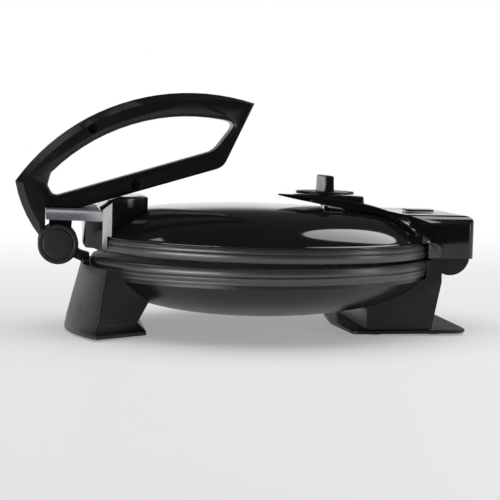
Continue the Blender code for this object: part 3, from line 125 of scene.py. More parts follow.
# %% [markdown]
# ## Soft corners
# Nothing that is pressed, cast or moulded has a knife edge, and a dark glossy object is
# read by the thin lights on its edges. So every corner of a profile is replaced with a
# small curve before the profile is carried round.

# %% Round the corners of a profile
LONGEST_SHARE = 0.45


def soften(outline, reach, steps=4, closed=False):
    """Replace each corner p by the curve (1-t)^2 a + 2t(1-t) p + t^2 b.

    a and b lie on the two sides, at reach from p or, if that is shorter, at the longest
    share of the side, so that the curves of two neighbours never meet.
    """
    corner = np.asarray(outline, float)
    before, after = np.roll(corner, 1, axis=0) - corner, np.roll(corner, -1, axis=0) - corner
    share = np.linspace(0.0, 1.0, steps + 1)[None, :, None]

    def toward(side):
        length = np.linalg.norm(side, axis=1, keepdims=True)
        return corner + side / length * np.minimum(reach, LONGEST_SHARE * length)

    first, last = toward(before)[:, None], toward(after)[:, None]
    curve = (1 - share) ** 2 * first + 2 * share * (1 - share) * corner[:, None] + share**2 * last
    if closed:
        return curve.reshape(-1, 2)
    return np.concatenate([corner[:1], curve[1:-1].reshape(-1, 2), corner[-1:]])


def bend(first, pull, last, steps):
    """Curve (1-t)^2 first + 2t(1-t) pull + t^2 last, from first to last toward pull."""
    share = np.linspace(0.0, 1.0, steps + 1)[:, None]
    ends = np.asarray(first, float), np.asarray(pull, float), np.asarray(last, float)
    return (1 - share) ** 2 * ends[0] + 2 * share * (1 - share) * ends[1] + share**2 * ends[2]


def turned(name, profile, steps, place, loop=False):
    """Point (r, h) of the profile becomes (r cos a, r sin a, h) for every angle a round Z."""
    profile = np.asarray(profile, float)
    angle = np.linspace(0.0, math.tau, steps, endpoint=False)
    ends = [None, None]
    if not loop:
        ends = [(0.0, 0.0, profile[0, 1]), (0.0, 0.0, profile[-1, 1])]
        profile = profile[1:-1]
    radius, height = profile[:, :1], profile[:, 1:]
    grid = np.stack([radius * np.cos(angle), radius * np.sin(angle), height + 0 * angle], -1)
    ends = [None if end is None else place(np.array([end])) for end in ends]
    return grid_mesh(name, place(grid), *ends, loop=loop)


print("a bend of four steps has", len(bend((0, 0), (1, 0), (1, 1), 4)), "points")

# %% [markdown]
# ## Shader helpers
# A finish is a small tree of nodes. These helpers add a node with its settings and wire
# sockets by name, so that a finish reads as a list of what it is made of.

# %% Nodes and wires
def add_node(tree, kind, **settings):
    """A shader node; a setting that is an input's name sets that input, any other an attribute."""
    made = tree.nodes.new("ShaderNode" + kind)
    for key, value in settings.items():
        name = key.replace("_", " ").title()
        if hasattr(made, key):
            setattr(made, key, value)
        elif name in made.inputs:
            made.inputs[name].default_value = value
        else:
            made.inputs[key].default_value = value
    return made


def wire(tree, source, output, target, entry):
    """Join an output of one node to an input of another."""
    tree.links.new(source.outputs[output], target.inputs[entry])


def feed(tree, node, entry, source):
    """Give an input a number, a colour of three numbers, or the wire of a pair of node and output."""
    if not isinstance(source, tuple):
        node.inputs[entry].default_value = source
    elif isinstance(source[0], bpy.types.Node):
        wire(tree, *source, node, entry)
    else:
        node.inputs[entry].default_value = (*source, 1)


def sum_node(tree, kind, first, second, clamp=False):
    """A Math node on two sources, each a number or a pair of node and output."""
    made = add_node(tree, "Math", operation=kind, use_clamp=clamp)
    feed(tree, made, 0, first)
    feed(tree, made, 1, second)
    return made


MIX_SHARE, MIX_FIRST, MIX_SECOND, MIX_RESULT = 0, 6, 7, 2


def mix_node(tree, share, first, second, blend="MIX"):
    """The colour first * (1 - share) + second * share; each is a value or a pair of node and output."""
    made = add_node(tree, "Mix", data_type="RGBA", blend_type=blend)
    feed(tree, made, MIX_SHARE, share)
    feed(tree, made, MIX_FIRST, first)
    feed(tree, made, MIX_SECOND, second)
    return made


def range_node(tree, source, output, low, high, to_low=0.0, to_high=1.0):
    """Map a value smoothly from one range to another."""
    made = add_node(tree, "MapRange", interpolation_type="SMOOTHSTEP")
    limits = (("From Min", low), ("From Max", high), ("To Min", to_low), ("To Max", to_high))
    for name, value in limits:
        made.inputs[name].default_value = value
    wire(tree, source, output, made, "Value")
    return made


def new_group(name, entries, exits):
    """An empty node group with a place to work at, its own entries, and numbers as exits."""
    tree = bpy.data.node_groups.new(name, "ShaderNodeTree")
    for label, kind, value in [("Place", "Vector", None), *entries]:
        socket = tree.interface.new_socket(label, in_out="INPUT", socket_type="NodeSocket" + kind)
        if value is not None:
            socket.default_value = value
    for label in exits:
        tree.interface.new_socket(label, in_out="OUTPUT", socket_type="NodeSocketFloat")
    return tree, tree.nodes.new("NodeGroupInput"), tree.nodes.new("NodeGroupOutput")


# %% [markdown]
# ## Effects that several finishes share
# Moulded plastic carries the fine grain of its mould, anything that is handled carries
# smudges and hair scratches, and flat tops gather a little dust. Each effect is one group
# that gives out masks and heights only; the shader that uses them stays in the material.

# %% Grain of a mould or a casting
CLOUD_SHARE = 0.45
grain_tree, given, result = new_group(
    "Moulded grain", [("Size", "Float", 900.0), ("Pits", "Float", 0.4)], ["Height"])
cells = add_node(grain_tree, "TexVoronoi", feature="SMOOTH_F1")
cloud = add_node(grain_tree, "TexNoise", Detail=3.0, Roughness=0.6)
half_size = sum_node(grain_tree, "MULTIPLY", (given, "Size"), CLOUD_SHARE)
for texture in (cells, cloud):
    wire(grain_tree, given, "Place", texture, "Vector")
wire(grain_tree, given, "Size", cells, "Scale")
wire(grain_tree, half_size, 0, cloud, "Scale")
pits = sum_node(grain_tree, "MULTIPLY", (cells, "Distance"), (given, "Pits"))
height = sum_node(grain_tree, "ADD", (pits, 0), (cloud, "Fac"))
wire(grain_tree, height, 0, result, "Height")

# %% Smudges and hair scratches from handling
SMUDGE_BAND, HAIR_BAND = (0.42, 0.72), (0.68, 0.76)
HAIR_STRETCH, HAIR_TURN = (1.0, 0.05, 1.0), (0.3, 0.2, 0.5)
marks_tree, given, result = new_group(
    "Handling marks", [("Size", "Float", 26.0)], ["Smudge", "Scratch"])
smudge = add_node(marks_tree, "TexNoise", Detail=4.0, Roughness=0.55, Distortion=0.6)
wire(marks_tree, given, "Place", smudge, "Vector")
wire(marks_tree, given, "Size", smudge, "Scale")
smear = range_node(marks_tree, smudge, "Fac", *SMUDGE_BAND)
wire(marks_tree, smear, "Result", result, "Smudge")
stretch = add_node(marks_tree, "Mapping", Scale=HAIR_STRETCH, Rotation=HAIR_TURN)
hairs = add_node(marks_tree, "TexNoise", Scale=900.0, Detail=1.0)
wire(marks_tree, given, "Place", stretch, "Vector")
wire(marks_tree, stretch, "Vector", hairs, "Vector")
thin = range_node(marks_tree, hairs, "Fac", *HAIR_BAND)
wire(marks_tree, thin, "Result", result, "Scratch")

# %% Dust that settles on what faces up
SPECK_BAND, UPWARD_BAND = (0.62, 0.78), (0.35, 0.95)
dust_tree, given, result = new_group(
    "Settled dust", [("Facing", "Vector", None), ("Size", "Float", 1400.0)], ["Mask"])
specks = add_node(dust_tree, "TexNoise", Detail=2.0, Roughness=0.7)
wire(dust_tree, given, "Place", specks, "Vector")
wire(dust_tree, given, "Size", specks, "Scale")
sparse = range_node(dust_tree, specks, "Fac", *SPECK_BAND)
split = add_node(dust_tree, "SeparateXYZ")
wire(dust_tree, given, "Facing", split, "Vector")
upward = range_node(dust_tree, split, "Z", *UPWARD_BAND)
fallen = sum_node(dust_tree, "MULTIPLY", (sparse, "Result"), (upward, "Result"))
wire(dust_tree, fallen, 0, result, "Mask")

# %% Worn edges with a painted highlight on them, from how sharply the surface turns
WEAR_AND_GLINT_GAIN = 14.0
wear_and_glint_tree, given, result = new_group(
    "Edge wear", [("Start", "Float", 0.53)], ["Mask"])
geometry = add_node(wear_and_glint_tree, "NewGeometry")
patches = add_node(wear_and_glint_tree, "TexNoise", Scale=120.0, Detail=3.0)
wire(wear_and_glint_tree, given, "Place", patches, "Vector")
over = sum_node(wear_and_glint_tree, "SUBTRACT", (geometry, "Pointiness"), (given, "Start"))
steep = sum_node(wear_and_glint_tree, "MULTIPLY", (over, 0), WEAR_AND_GLINT_GAIN, clamp=True)
rubbed_and_glinting = sum_node(wear_and_glint_tree, "MULTIPLY", (steep, 0), (patches, "Fac"))
wire(wear_and_glint_tree, rubbed_and_glinting, 0, result, "Mask")
print("shared effects:", [tree.name for tree in bpy.data.node_groups])

# %% [markdown]
# ## One recipe for the dark finishes
# Nearly everything here is black, and how black, how rough and how grainy it is tells the
# pieces apart. The recipe mixes two close tones by a cloud, raises the roughness where
# hands have been, lightens dust and sharp edges, whose pale tone is partly worn and
# partly a painted highlight, and bumps by the grain.

# %% The recipe
# The pale tone of dust, of worn edges and of the painted highlight on edges
TONE_CLOUD, DUST_WEAR_GLINT_TONE = 38.0, (0.42, 0.42, 0.44)


def dark_finish(name, tones, rough, grain, depth, smudge=0.05, dust=0.10, wear_and_glint=0.10, shine=0.5):
    """A Principled finish: tones are the two base colours, rough the plain roughness.

    grain is the pattern's size in cells per metre and depth its bump, smudge the added
    roughness of handling, dust and wear how strongly dust and sharp edges lighten the
    colour; the pale edges are partly worn and partly a painted highlight. Its nodes
    come back too, for a finish that adds to them.
    """
    made = bpy.data.materials.new(name)
    made.use_nodes = True
    tree = made.node_tree
    shader = tree.nodes["Principled BSDF"]
    where = add_node(tree, "TexCoord")

    cloud = add_node(tree, "TexNoise", Scale=TONE_CLOUD, Detail=5.0, Roughness=0.6)
    wire(tree, where, "Object", cloud, "Vector")
    tone = mix_node(tree, (cloud, "Fac"), *tones)

    effects = {}
    groups = {"grain": grain_tree, "marks": marks_tree, "dust": dust_tree, "wear_and_glint": wear_and_glint_tree}
    for label, group in groups.items():
        effects[label] = add_node(tree, "Group")
        effects[label].node_tree = group
        wire(tree, where, "Object", effects[label], "Place")
    wire(tree, where, "Normal", effects["dust"], "Facing")
    effects["grain"].inputs["Size"].default_value = grain

    light = sum_node(tree, "MULTIPLY", (effects["dust"], "Mask"), dust)
    # Sharp edges are painted paler: partly worn, partly a painted highlight
    edge = sum_node(tree, "MULTIPLY", (effects["wear_and_glint"], "Mask"), wear_and_glint)
    pale = sum_node(tree, "ADD", (light, 0), (edge, 0), clamp=True)
    mixed = mix_node(tree, (pale, 0), (tone, MIX_RESULT), DUST_WEAR_GLINT_TONE)
    wire(tree, mixed, MIX_RESULT, shader, "Base Color")

    smeared = sum_node(tree, "MULTIPLY", (effects["marks"], "Smudge"), smudge)
    scratched = sum_node(tree, "MULTIPLY", (effects["marks"], "Scratch"), smudge)
    both = sum_node(tree, "ADD", (smeared, 0), (scratched, 0))
    dusty = sum_node(tree, "ADD", (both, 0), (light, 0))
    total = sum_node(tree, "ADD", (dusty, 0), rough, clamp=True)
    wire(tree, total, 0, shader, "Roughness")

    bump = add_node(tree, "Bump", Strength=1.0, Distance=depth)
    wire(tree, effects["grain"], "Height", bump, "Height")
    wire(tree, bump, "Normal", shader, "Normal")
    shader.inputs["Specular IOR Level"].default_value = shine
    return made, tree, shader, where


# %% [markdown]
# ## The dark finishes themselves
# The dome is hard stove enamel, the arm and the front bracket polished plastic. Feet and
# handle are satin plastic, the handle a shade bluer. The hub cap is dull and a little
# warm, and rubber is the dullest of all. The grain of satin plastic is one or two
# hundredths of a millimetre deep, and that of the polished pieces less than one.

# %% Polished, satin and dull blacks
dome_enamel = dark_finish(
    "Dome enamel", ((0.0055, 0.0055, 0.0062), (0.0080, 0.0080, 0.0086)),
    rough=0.065, grain=70.0, depth=0.000008, smudge=0.02, dust=0.04, wear_and_glint=0.0)[0]
polished_black = dark_finish(
    "Polished black", ((0.0040, 0.0040, 0.0046), (0.0060, 0.0060, 0.0068)),
    rough=0.085, grain=160.0, depth=0.000006, smudge=0.06, dust=0.06, wear_and_glint=0.05)[0]
bowl_enamel = dark_finish(
    "Bowl enamel", ((0.0070, 0.0070, 0.0080), (0.0095, 0.0095, 0.0105)),
    rough=0.27, grain=420.0, depth=0.000008, smudge=0.05, dust=0.04, wear_and_glint=0.05)[0]
foot_satin = dark_finish(
    "Foot satin", ((0.0060, 0.0060, 0.0070), (0.0090, 0.0090, 0.0102)),
    rough=0.38, grain=1500.0, depth=0.00002, smudge=0.08, dust=0.10, wear_and_glint=0.10, shine=0.4)[0]
handle_satin = dark_finish(
    "Handle satin", ((0.0045, 0.0046, 0.0065), (0.0065, 0.0067, 0.0090)),
    rough=0.27, grain=1700.0, depth=0.000012, smudge=0.04, dust=0.06, wear_and_glint=0.12)[0]
cap_matte = dark_finish(
    "Cap matte", ((0.0080, 0.0066, 0.0070), (0.0110, 0.0090, 0.0095)),
    rough=0.48, grain=2200.0, depth=0.00003, smudge=0.10, dust=0.10, wear_and_glint=0.20)[0]
knob_satin = dark_finish(
    "Knob satin", ((0.0060, 0.0060, 0.0070), (0.0085, 0.0085, 0.0095)),
    rough=0.22, grain=1900.0, depth=0.000012, smudge=0.10, dust=0.10, wear_and_glint=0.12)[0]
foot_rubber = dark_finish(
    "Foot rubber", ((0.0140, 0.0140, 0.0140), (0.0200, 0.0200, 0.0200)),
    rough=0.75, grain=1300.0, depth=0.00005, smudge=0.10, dust=0.25, wear_and_glint=0.10)[0]
print("dark finishes:", len(bpy.data.materials))

# %% [markdown]
# ## Coated castings
# The hotplates are cast and turned, then coated with a dark non-stick layer in which fine
# pale flecks float. The rim keeps the faint lines of the lathe, which run round it, so
# they are rings of the height above the plate and not a pattern of the face.

# %% Hotplate coating
FLECK_BAND, FLECK_SHARE, FLECK_TONE = (0.13, 0.20), 0.45, (0.20, 0.20, 0.21)
plate_coating, tree, shader, where = dark_finish(
    "Plate coating", ((0.085, 0.082, 0.085), (0.110, 0.106, 0.108)),
    rough=0.34, grain=1100.0, depth=0.00004, smudge=0.06, dust=0.05, wear_and_glint=0.30, shine=0.8)
flecks = add_node(tree, "TexVoronoi", Scale=700.0)
wire(tree, where, "Object", flecks, "Vector")
spots = range_node(tree, flecks, "Distance", *FLECK_BAND, 1.0, 0.0)
fleck_share = sum_node(tree, "MULTIPLY", (spots, "Result"), FLECK_SHARE)
plain = shader.inputs["Base Color"].links[0].from_node
flecked = mix_node(tree, (fleck_share, 0), (plain, MIX_RESULT), FLECK_TONE)
wire(tree, flecked, MIX_RESULT, shader, "Base Color")
lathe = add_node(tree, "TexWave", wave_type="BANDS", bands_direction="Z", Scale=620.0,
                 Distortion=0.6, Detail=2.0)
wire(tree, where, "Object", lathe, "Vector")
grain_bump = shader.inputs["Normal"].links[0].from_node
lathe_bump = add_node(tree, "Bump", Strength=0.25, Distance=0.000008)
wire(tree, lathe, "Fac", lathe_bump, "Height")
wire(tree, grain_bump, "Normal", lathe_bump, "Normal")
wire(tree, lathe_bump, "Normal", shader, "Normal")
shader.inputs["Metallic"].default_value = 0.65
print("plate coating:", len(tree.nodes), "nodes")


# %% [markdown]
# ## Metal, ceramic and the lamps
# Pins and heating tubes are plain steel with drawn streaks, the steel screws are painted nearly
# black for the shade of their deep recesses, and the shields are bright sheet. The thermostat and the
# terminal block are unglazed ceramic.
# The smoked lens glows red and green round its two lamps, by the distance from each.

# %% Streaked metals and ceramic
DRAWN_OUT, STREAK_BAND, STREAK_SMOOTHER, STREAK_ROUGHER = (1.0, 18.0, 18.0), (0.3, 0.7), 0.08, 0.12


def dimmed(colour, share):
    """Every part of the colour times the share."""
    return tuple(share * part for part in colour)


def streaked_metal(name, colour, rough, size):
    """Metal whose roughness follows a cloud that is drawn out along one axis."""
    made, tree, shader, where = dark_finish(
        name, (colour, dimmed(colour, 0.86)),
        rough=rough, grain=1500.0, depth=0.00001, smudge=0.08, dust=0.0, wear_and_glint=0.0)
    drawn = add_node(tree, "Mapping", Scale=DRAWN_OUT)
    streaks = add_node(tree, "TexNoise", Scale=size, Detail=3.0)
    wire(tree, where, "Object", drawn, "Vector")
    wire(tree, drawn, "Vector", streaks, "Vector")
    limits = rough - STREAK_SMOOTHER, rough + STREAK_ROUGHER
    spread = range_node(tree, streaks, "Fac", *STREAK_BAND, *limits)
    wire(tree, spread, "Result", shader, "Roughness")
    shader.inputs["Metallic"].default_value = 1.0
    return made


plain_steel = streaked_metal("Plain steel", (0.40, 0.40, 0.41), 0.34, 90.0)
# Painted shade: the screws' steel is darkened to nearly black for the shade deep in their recesses
recess_shaded_steel = streaked_metal("Steel darkened for recess shade", (0.030, 0.030, 0.033), 0.40, 90.0)
shield_sheet = streaked_metal("Shield sheet", (0.60, 0.60, 0.60), 0.30, 60.0)
block_ceramic = dark_finish(
    "Block ceramic", ((0.60, 0.58, 0.53), (0.66, 0.64, 0.58)),
    rough=0.62, grain=900.0, depth=0.00008, smudge=0.05, dust=0.0, wear_and_glint=0.0)[0]


# %% Glowing lens and lamps
def glow(name, colour, strength):
    """A lamp's glass: it glows in its own colour, at half of it between the cells of its ribs."""
    made, tree, shader, where = dark_finish(
        name, (colour, dimmed(colour, 0.8)),
        rough=0.22, grain=1500.0, depth=0.00002, smudge=0.05, dust=0.0, wear_and_glint=0.0)
    ribs = add_node(tree, "TexVoronoi", Scale=1300.0)
    wire(tree, where, "Object", ribs, "Vector")
    lit = mix_node(tree, (ribs, "Distance"), colour, dimmed(colour, 0.5))
    wire(tree, lit, MIX_RESULT, shader, "Emission Color")
    shader.inputs["Emission Strength"].default_value = strength
    return made


red_glass = glow("Red lamp glass", (0.60, 0.035, 0.020), 0.6)
green_glass = glow("Green lamp glass", (0.02, 0.30, 0.20), 0.6)
tongue_satin = dark_finish(
    "Tongue satin", ((0.105, 0.108, 0.122), (0.125, 0.128, 0.144)),
    rough=0.34, grain=900.0, depth=0.00001, smudge=0.08, dust=0.05, wear_and_glint=0.05, shine=0.7)[0]
smoked_lens, tree, shader, where = dark_finish(
    "Smoked lens", ((0.012, 0.007, 0.007), (0.018, 0.010, 0.010)),
    rough=0.09, grain=300.0, depth=0.000004, smudge=0.05, dust=0.05, wear_and_glint=0.05)
HALO_SHIFT, HALO_BAND, HALO_STRENGTH = (0.008, 0.0, 0.0), (0.0015, 0.0052), 0.09
POWER_LAMP, READY_LAMP = np.array([0.0, 0.1235, 0.0345]), np.array([0.0, 0.1345, 0.0345])
halo_colours = []
for spot, colour in ((POWER_LAMP, (0.85, 0.05, 0.03)), (READY_LAMP, (0.02, 0.45, 0.35))):
    reach = add_node(tree, "VectorMath", operation="DISTANCE")
    reach.inputs[1].default_value = on_lid(spot[None])[0] + HALO_SHIFT
    wire(tree, where, "Object", reach, 0)
    halo = range_node(tree, reach, "Value", *HALO_BAND, 1.0, 0.0)
    halo_colours.append((mix_node(tree, (halo, "Result"), (0, 0, 0), colour), MIX_RESULT))
both_halos = mix_node(tree, 1.0, *halo_colours, blend="ADD")
wire(tree, both_halos, MIX_RESULT, shader, "Emission Color")
shader.inputs["Emission Strength"].default_value = HALO_STRENGTH
print("finishes in all:", len(bpy.data.materials))

# %% [markdown]
# ## The dome
# The lid's shell is pressed sheet: an almost flat crown, a shoulder that turns down ever
# more steeply, and a small rolled lip on the seam. Two curves that meet without a kink
# give the outside, and the same curves a wall lower give the inside. Seen at a grazing
# angle, the dome needs many steps round to reflect cleanly.

# %% Dome, outside and inside in one profile
PARTING, UPPER_SKIRT, GAP = 0.0012, 0.0105, 0.0003
SEAM = PARTING + UPPER_SKIRT + GAP
DOME_LIP, DOME_WALL = 0.0012, 0.0020
DOME_RADIUS, DOME_LIP_RADIUS = 0.1335, 0.1346
SHOULDER_PULL, SHOULDER_END = (0.115, 0.0192), (0.080, 0.0218)
CROWN_PULL, CROWN_RISE = 0.040, 0.0250
CURVE_STEPS, CROWN_STEPS, ROUND_STEPS = 36, 12, 224


def dome_side(inset):
    """Half section from the rim to the crown: one curve over the shoulder, one over the crown."""
    low = SEAM + DOME_LIP
    start = (DOME_RADIUS - inset, low)
    pull = (SHOULDER_PULL[0] - inset, low + SHOULDER_PULL[1] - inset)
    shoulder = (SHOULDER_END[0], low + SHOULDER_END[1] - inset)
    top = low + CROWN_RISE - inset
    over_crown = bend(shoulder, (CROWN_PULL, top), (0.0, top), CROWN_STEPS)
    return np.concatenate([bend(start, pull, shoulder, CURVE_STEPS), over_crown[1:]])


rolled_lip = soften([(DOME_RADIUS, SEAM + DOME_LIP), (DOME_LIP_RADIUS, SEAM + DOME_LIP),
                     (DOME_LIP_RADIUS, SEAM), (DOME_RADIUS - DOME_WALL, SEAM)], 0.0005, 5)
dome_profile = np.concatenate([dome_side(0.0)[::-1], rolled_lip[1:], dome_side(DOME_WALL)])
add_piece(turned("dome_shell", dome_profile, ROUND_STEPS, on_lid),
          "lid", dome_enamel, ["lid_dome"], crease=50)

# %% [markdown]
# ## The bowl
# Under the lower plate hangs a deep pressed bowl with a short upright lip. Its bulge is
# one curve from the lip to a flat middle.

# %% Bowl, outside and inside in one profile
LOWER_SKIRT = 0.0125
BOWL_TOP, BOWL_RADIUS, BOWL_LIP, BOWL_WALL = -LOWER_SKIRT - GAP, 0.1325, 0.0024, 0.0022
BOWL_PULL, BOWL_FLAT = (0.112, 0.0260), (0.050, 0.0312)


def bowl_side(inset):
    """Half section from the lip down and inward to the flat middle."""
    edge = (BOWL_RADIUS - inset, BOWL_TOP - BOWL_LIP)
    pull = (BOWL_PULL[0] - inset, BOWL_TOP - BOWL_PULL[1] + inset)
    flat = (BOWL_FLAT[0], BOWL_TOP - BOWL_FLAT[1] + inset)
    side = bend(edge, pull, flat, CURVE_STEPS)
    return np.concatenate([[(BOWL_RADIUS - inset, BOWL_TOP)], side, [(0.0, flat[1])]])


bowl_profile = np.concatenate([bowl_side(0.0)[::-1], bowl_side(BOWL_WALL)])
add_piece(turned("bowl_shell", bowl_profile, ROUND_STEPS, on_base),
          "base", bowl_enamel, ["base_bowl"])

# %% [markdown]
# ## The hotplates
# Seen from the side the plates are all rim: a broad band that swells a little, one shallow
# groove, a narrower band and a skirt that steps in. The cooking face is dished by a
# millimetre so that the dough stays in. Both plates share one profile, mirrored.

# %% One profile for both plates
PLATE_RADIUS, BEAD = 0.135, 0.0006
GROOVE_FLOOR = PLATE_RADIUS - 0.0005
DISH, DISH_RADIUS, PLATE_THICK = 0.0010, 0.1255, 0.0070
SKIRT_OUTER, SKIRT_INNER = 0.1342, 0.131


def plate_profile(face, skirt, up):
    """Heights grow from the cooking face; up is -1 for the lower plate and 1 for the upper."""
    steps = [(0.0, DISH), (DISH_RADIUS, DISH), (DISH_RADIUS + DISH, 0.0), (0.1340, 0.0),
             (PLATE_RADIUS - 0.0002, 0.0010), (PLATE_RADIUS + 0.0003, 0.0024),
             (PLATE_RADIUS + BEAD, 0.0040), (PLATE_RADIUS + 0.0004, 0.0060),
             (GROOVE_FLOOR, 0.0064), (GROOVE_FLOOR, 0.0068),
             (PLATE_RADIUS + 0.0002, 0.0071), (PLATE_RADIUS - 0.0001, 0.0092),
             (SKIRT_OUTER, 0.0100), (SKIRT_OUTER, skirt), (SKIRT_INNER, skirt),
             (SKIRT_INNER, PLATE_THICK), (0.0, PLATE_THICK)]
    corners = soften(steps, 0.0006, 3)
    return corners * [1.0, up] + [0.0, face]


for name, face, skirt, up, place, body in (
        ("lower_plate", 0.0, LOWER_SKIRT, -1, on_base, "base"),
        ("upper_plate", PARTING, UPPER_SKIRT, 1, on_lid, "lid")):
    plate = turned(name, plate_profile(face, skirt, up), ROUND_STEPS, place)
    add_piece(plate, body, plate_coating, [name.replace("plate", "hotplate")], crease=50)

# %% [markdown]
# ## Hub caps, screws and pads
# Small round pieces are turned as well, about an axis of their own. The caps on the
# handle's pivot are low domes with a fine step round them. The screws lie deep in their
# recesses and have a cross in the head. The pads are plain rubber discs.

# %% Turn a small piece about any axis
def about(centre, axis, place):
    """A place that turns Z onto the axis, moves to the centre and goes on to the model."""
    turn = np.array(Vector((0, 0, 1)).rotation_difference(Vector(axis)).to_matrix())
    return lambda points: place(points @ turn.T + np.array(centre))


SIDES = {"near": 1, "far": -1}
HANDLE_HALF, PIVOT = 0.0150, (-0.1613, 0.0044)
cap_profile = soften([(0.0, 0.0), (0.0158, 0.0), (0.0158, 0.0007), (0.0150, 0.0012),
                      (0.0128, 0.00125), (0.0124, 0.0009), (0.0119, 0.0009),
                      (0.0115, 0.00128), (0.0070, 0.0014), (0.0, 0.0014)], 0.0004, 4)
for name, side in SIDES.items():
    spot = about((side * (HANDLE_HALF + GAP), *PIVOT), (side, 0, 0), on_lid)
    add_piece(turned("hub_disc_" + name, cap_profile, 96, spot),
              "press_handle", cap_matte, ["hub_cap_" + name])

# %% Screws with a cross in the head
SCREW_FACE = HANDLE_HALF - 0.0045
SLOT_HALF, SLOT_REACH, SLOT_DEEP, FACE_BAND = 0.0005, 0.0020, 0.0011, 0.0001
screw_rings = np.array([(0.0, -0.0135), (0.0016, -0.0135), (0.0016, -0.0020), (0.0034, -0.0020),
                        (0.0034, -0.0004), (0.0030, 0.0), (0.0022, 0.0), (0.0014, 0.0),
                        (0.0007, 0.0), (0.0, 0.0)])


def cross_head(points):
    """Sink the face by the slot's depth where |x| or |y| is under its half width, out to its reach."""
    across, along, up = points[..., 0], points[..., 1], points[..., 2]
    in_cross = np.minimum(abs(across), abs(along)) < SLOT_HALF
    slot = in_cross & (np.hypot(across, along) < SLOT_REACH) & (up > -FACE_BAND)
    return points - slot[..., None] * np.array([0.0, 0.0, SLOT_DEEP])


for name, spot in (("upper", (-0.13590, 0.09449)), ("lower", (-0.1022, 0.0520))):
    seat = about((SCREW_FACE, *spot), (1, 0, 0), on_lid)
    mesh = turned("screw_" + name, screw_rings, 64, lambda points, seat=seat: seat(cross_head(points)))
    # The screws get the steel painted dark with the shade of their recesses
    add_piece(mesh, "press_handle", recess_shaded_steel, ["handle_screw_" + name])

# %% Rubber pads
pad_profile = soften([(0.0, 0.0), (0.0070, 0.0), (0.0070, 0.0012), (0.0, 0.0012)], 0.0003, 3)
pad_spots = {"front_{}": (0.058, -0.128), "rear_{}_front": (0.046, 0.084),
             "rear_{}_back": (0.046, 0.131)}
for label, (across, along) in pad_spots.items():
    for side_name, side in SIDES.items():
        name = label.format(side_name)
        spot = about((side * across, along, -PLATE_MIDDLE[2]), (0, 0, 1), on_base)
        add_piece(turned("foot_pad_" + name, pad_profile, 48, spot),
                  "base", foot_rubber, ["pad_" + name])


# %% [markdown]
# ## Dial, lens and lamps
# The dial is a thin disc with a tall narrow grip across it. The grip is an outline
# carried upward: it flares where it meets the disc, tapers, and rounds over at the top.
# The smoked lens is made the same way, and the lamps under it are turned.

# %% Outline carried through levels
def inward(outline, amount):
    """Move every point of a closed outline along the mean normal of its two sides."""
    side = np.roll(outline, -1, axis=0) - outline
    normal = np.stack([-side[:, 1], side[:, 0]], -1)
    normal /= np.linalg.norm(normal, axis=1, keepdims=True)
    mean = normal + np.roll(normal, 1, axis=0)
    mean /= np.linalg.norm(mean, axis=1, keepdims=True)
    return outline + mean * amount


def stacked(name, outline, levels, place):
    """Each level is an inset and a height: the outline moved inward by one and up to the other."""
    rings = np.stack([np.column_stack([inward(outline, inset), np.full(len(outline), height)])
                      for inset, height in levels])
    middle = outline.mean(axis=0)
    ends = [place(np.array([[*middle, level[1]]])) for level in (levels[0], levels[-1])]
    return grid_mesh(name, place(rings), *ends)


def block(half_across, half_along, middle, corner):
    """Rounded rectangle, anticlockwise, round a middle."""
    corners = np.array([(-1, -1), (1, -1), (1, 1), (-1, 1)]) * (half_across, half_along) + middle
    return soften(corners, corner, 7, closed=True)


# %% Dial with its grip
PLATFORM_TOP, DISC_GAP, DISC_HEIGHT, KNOB_Y = 0.0468, 0.0006, 0.0022, 0.0515
GRIP_HALF_LONG, GRIP_HALF_THICK, GRIP_CORNER = 0.0205, 0.00425, 0.0022
DISC_LOW = PLATFORM_TOP + DISC_GAP
dial_spot = about((0, KNOB_Y, DISC_LOW), (0, 0, 1), on_lid)
disc_profile = soften([(0.0, 0.0), (0.0230, 0.0), (0.0236, 0.0006), (0.0236, 0.0014),
                       (0.0228, DISC_HEIGHT), (0.0190, DISC_HEIGHT), (0.0187, 0.0019),
                       (0.0, 0.0019)], 0.0004, 3)
add_piece(turned("dial_disc", disc_profile, 144, dial_spot),
          "dial", knob_satin, ["thermostat_knob"])
grip_levels = [(0.0002, 0.0017), (-0.0004, 0.0019), (0.0001, 0.0025), (0.0004, 0.0040), (0.0006, 0.0080),
               (0.0007, 0.0130), (0.0009, 0.0140), (0.0013, 0.0145), (0.0021, 0.0148)]
grip_outline = block(GRIP_HALF_LONG, GRIP_HALF_THICK, (0.0, 0.0), GRIP_CORNER)
add_piece(stacked("dial_grip", grip_outline, grip_levels, dial_spot),
          "dial", knob_satin, ["thermostat_knob"], crease=40)

# %% Lens and the two lamps
DRUM_ROOF, LENS_HEIGHT, LAMP_BELOW = 0.0345, 0.0018, 0.0043
LENS_LOW = DRUM_ROOF + GAP
lens_levels = [(0.0, 0.0), (0.0, 0.0011), (0.0002, 0.0015), (0.0006, 0.00175), (0.0013, LENS_HEIGHT)]
lens_spot = about((0, 0, LENS_LOW), (0, 0, 1), on_lid)
lens_outline = block(0.0110, 0.0115, (0.0, 0.1290), 0.0055)
add_piece(stacked("smoked_window", lens_outline, lens_levels, lens_spot),
          "lid", smoked_lens, ["indicator_lens"], crease=40)
lamp_profile = soften([(0.0, 0.0), (0.0032, 0.0), (0.0032, 0.0030), (0.0022, 0.0040),
                       (0.0, 0.0040)], 0.0005, 4)
for name, slot, spot, glass in (("power", "red", POWER_LAMP, red_glass),
                                ("ready", "green", READY_LAMP, green_glass)):
    seat = about(spot - (0.0, 0.0, LAMP_BELOW), (0, 0, 1), on_lid)
    add_piece(turned(name + "_glass", lamp_profile, 48, seat), "lid", glass, [name + "_lamp"])


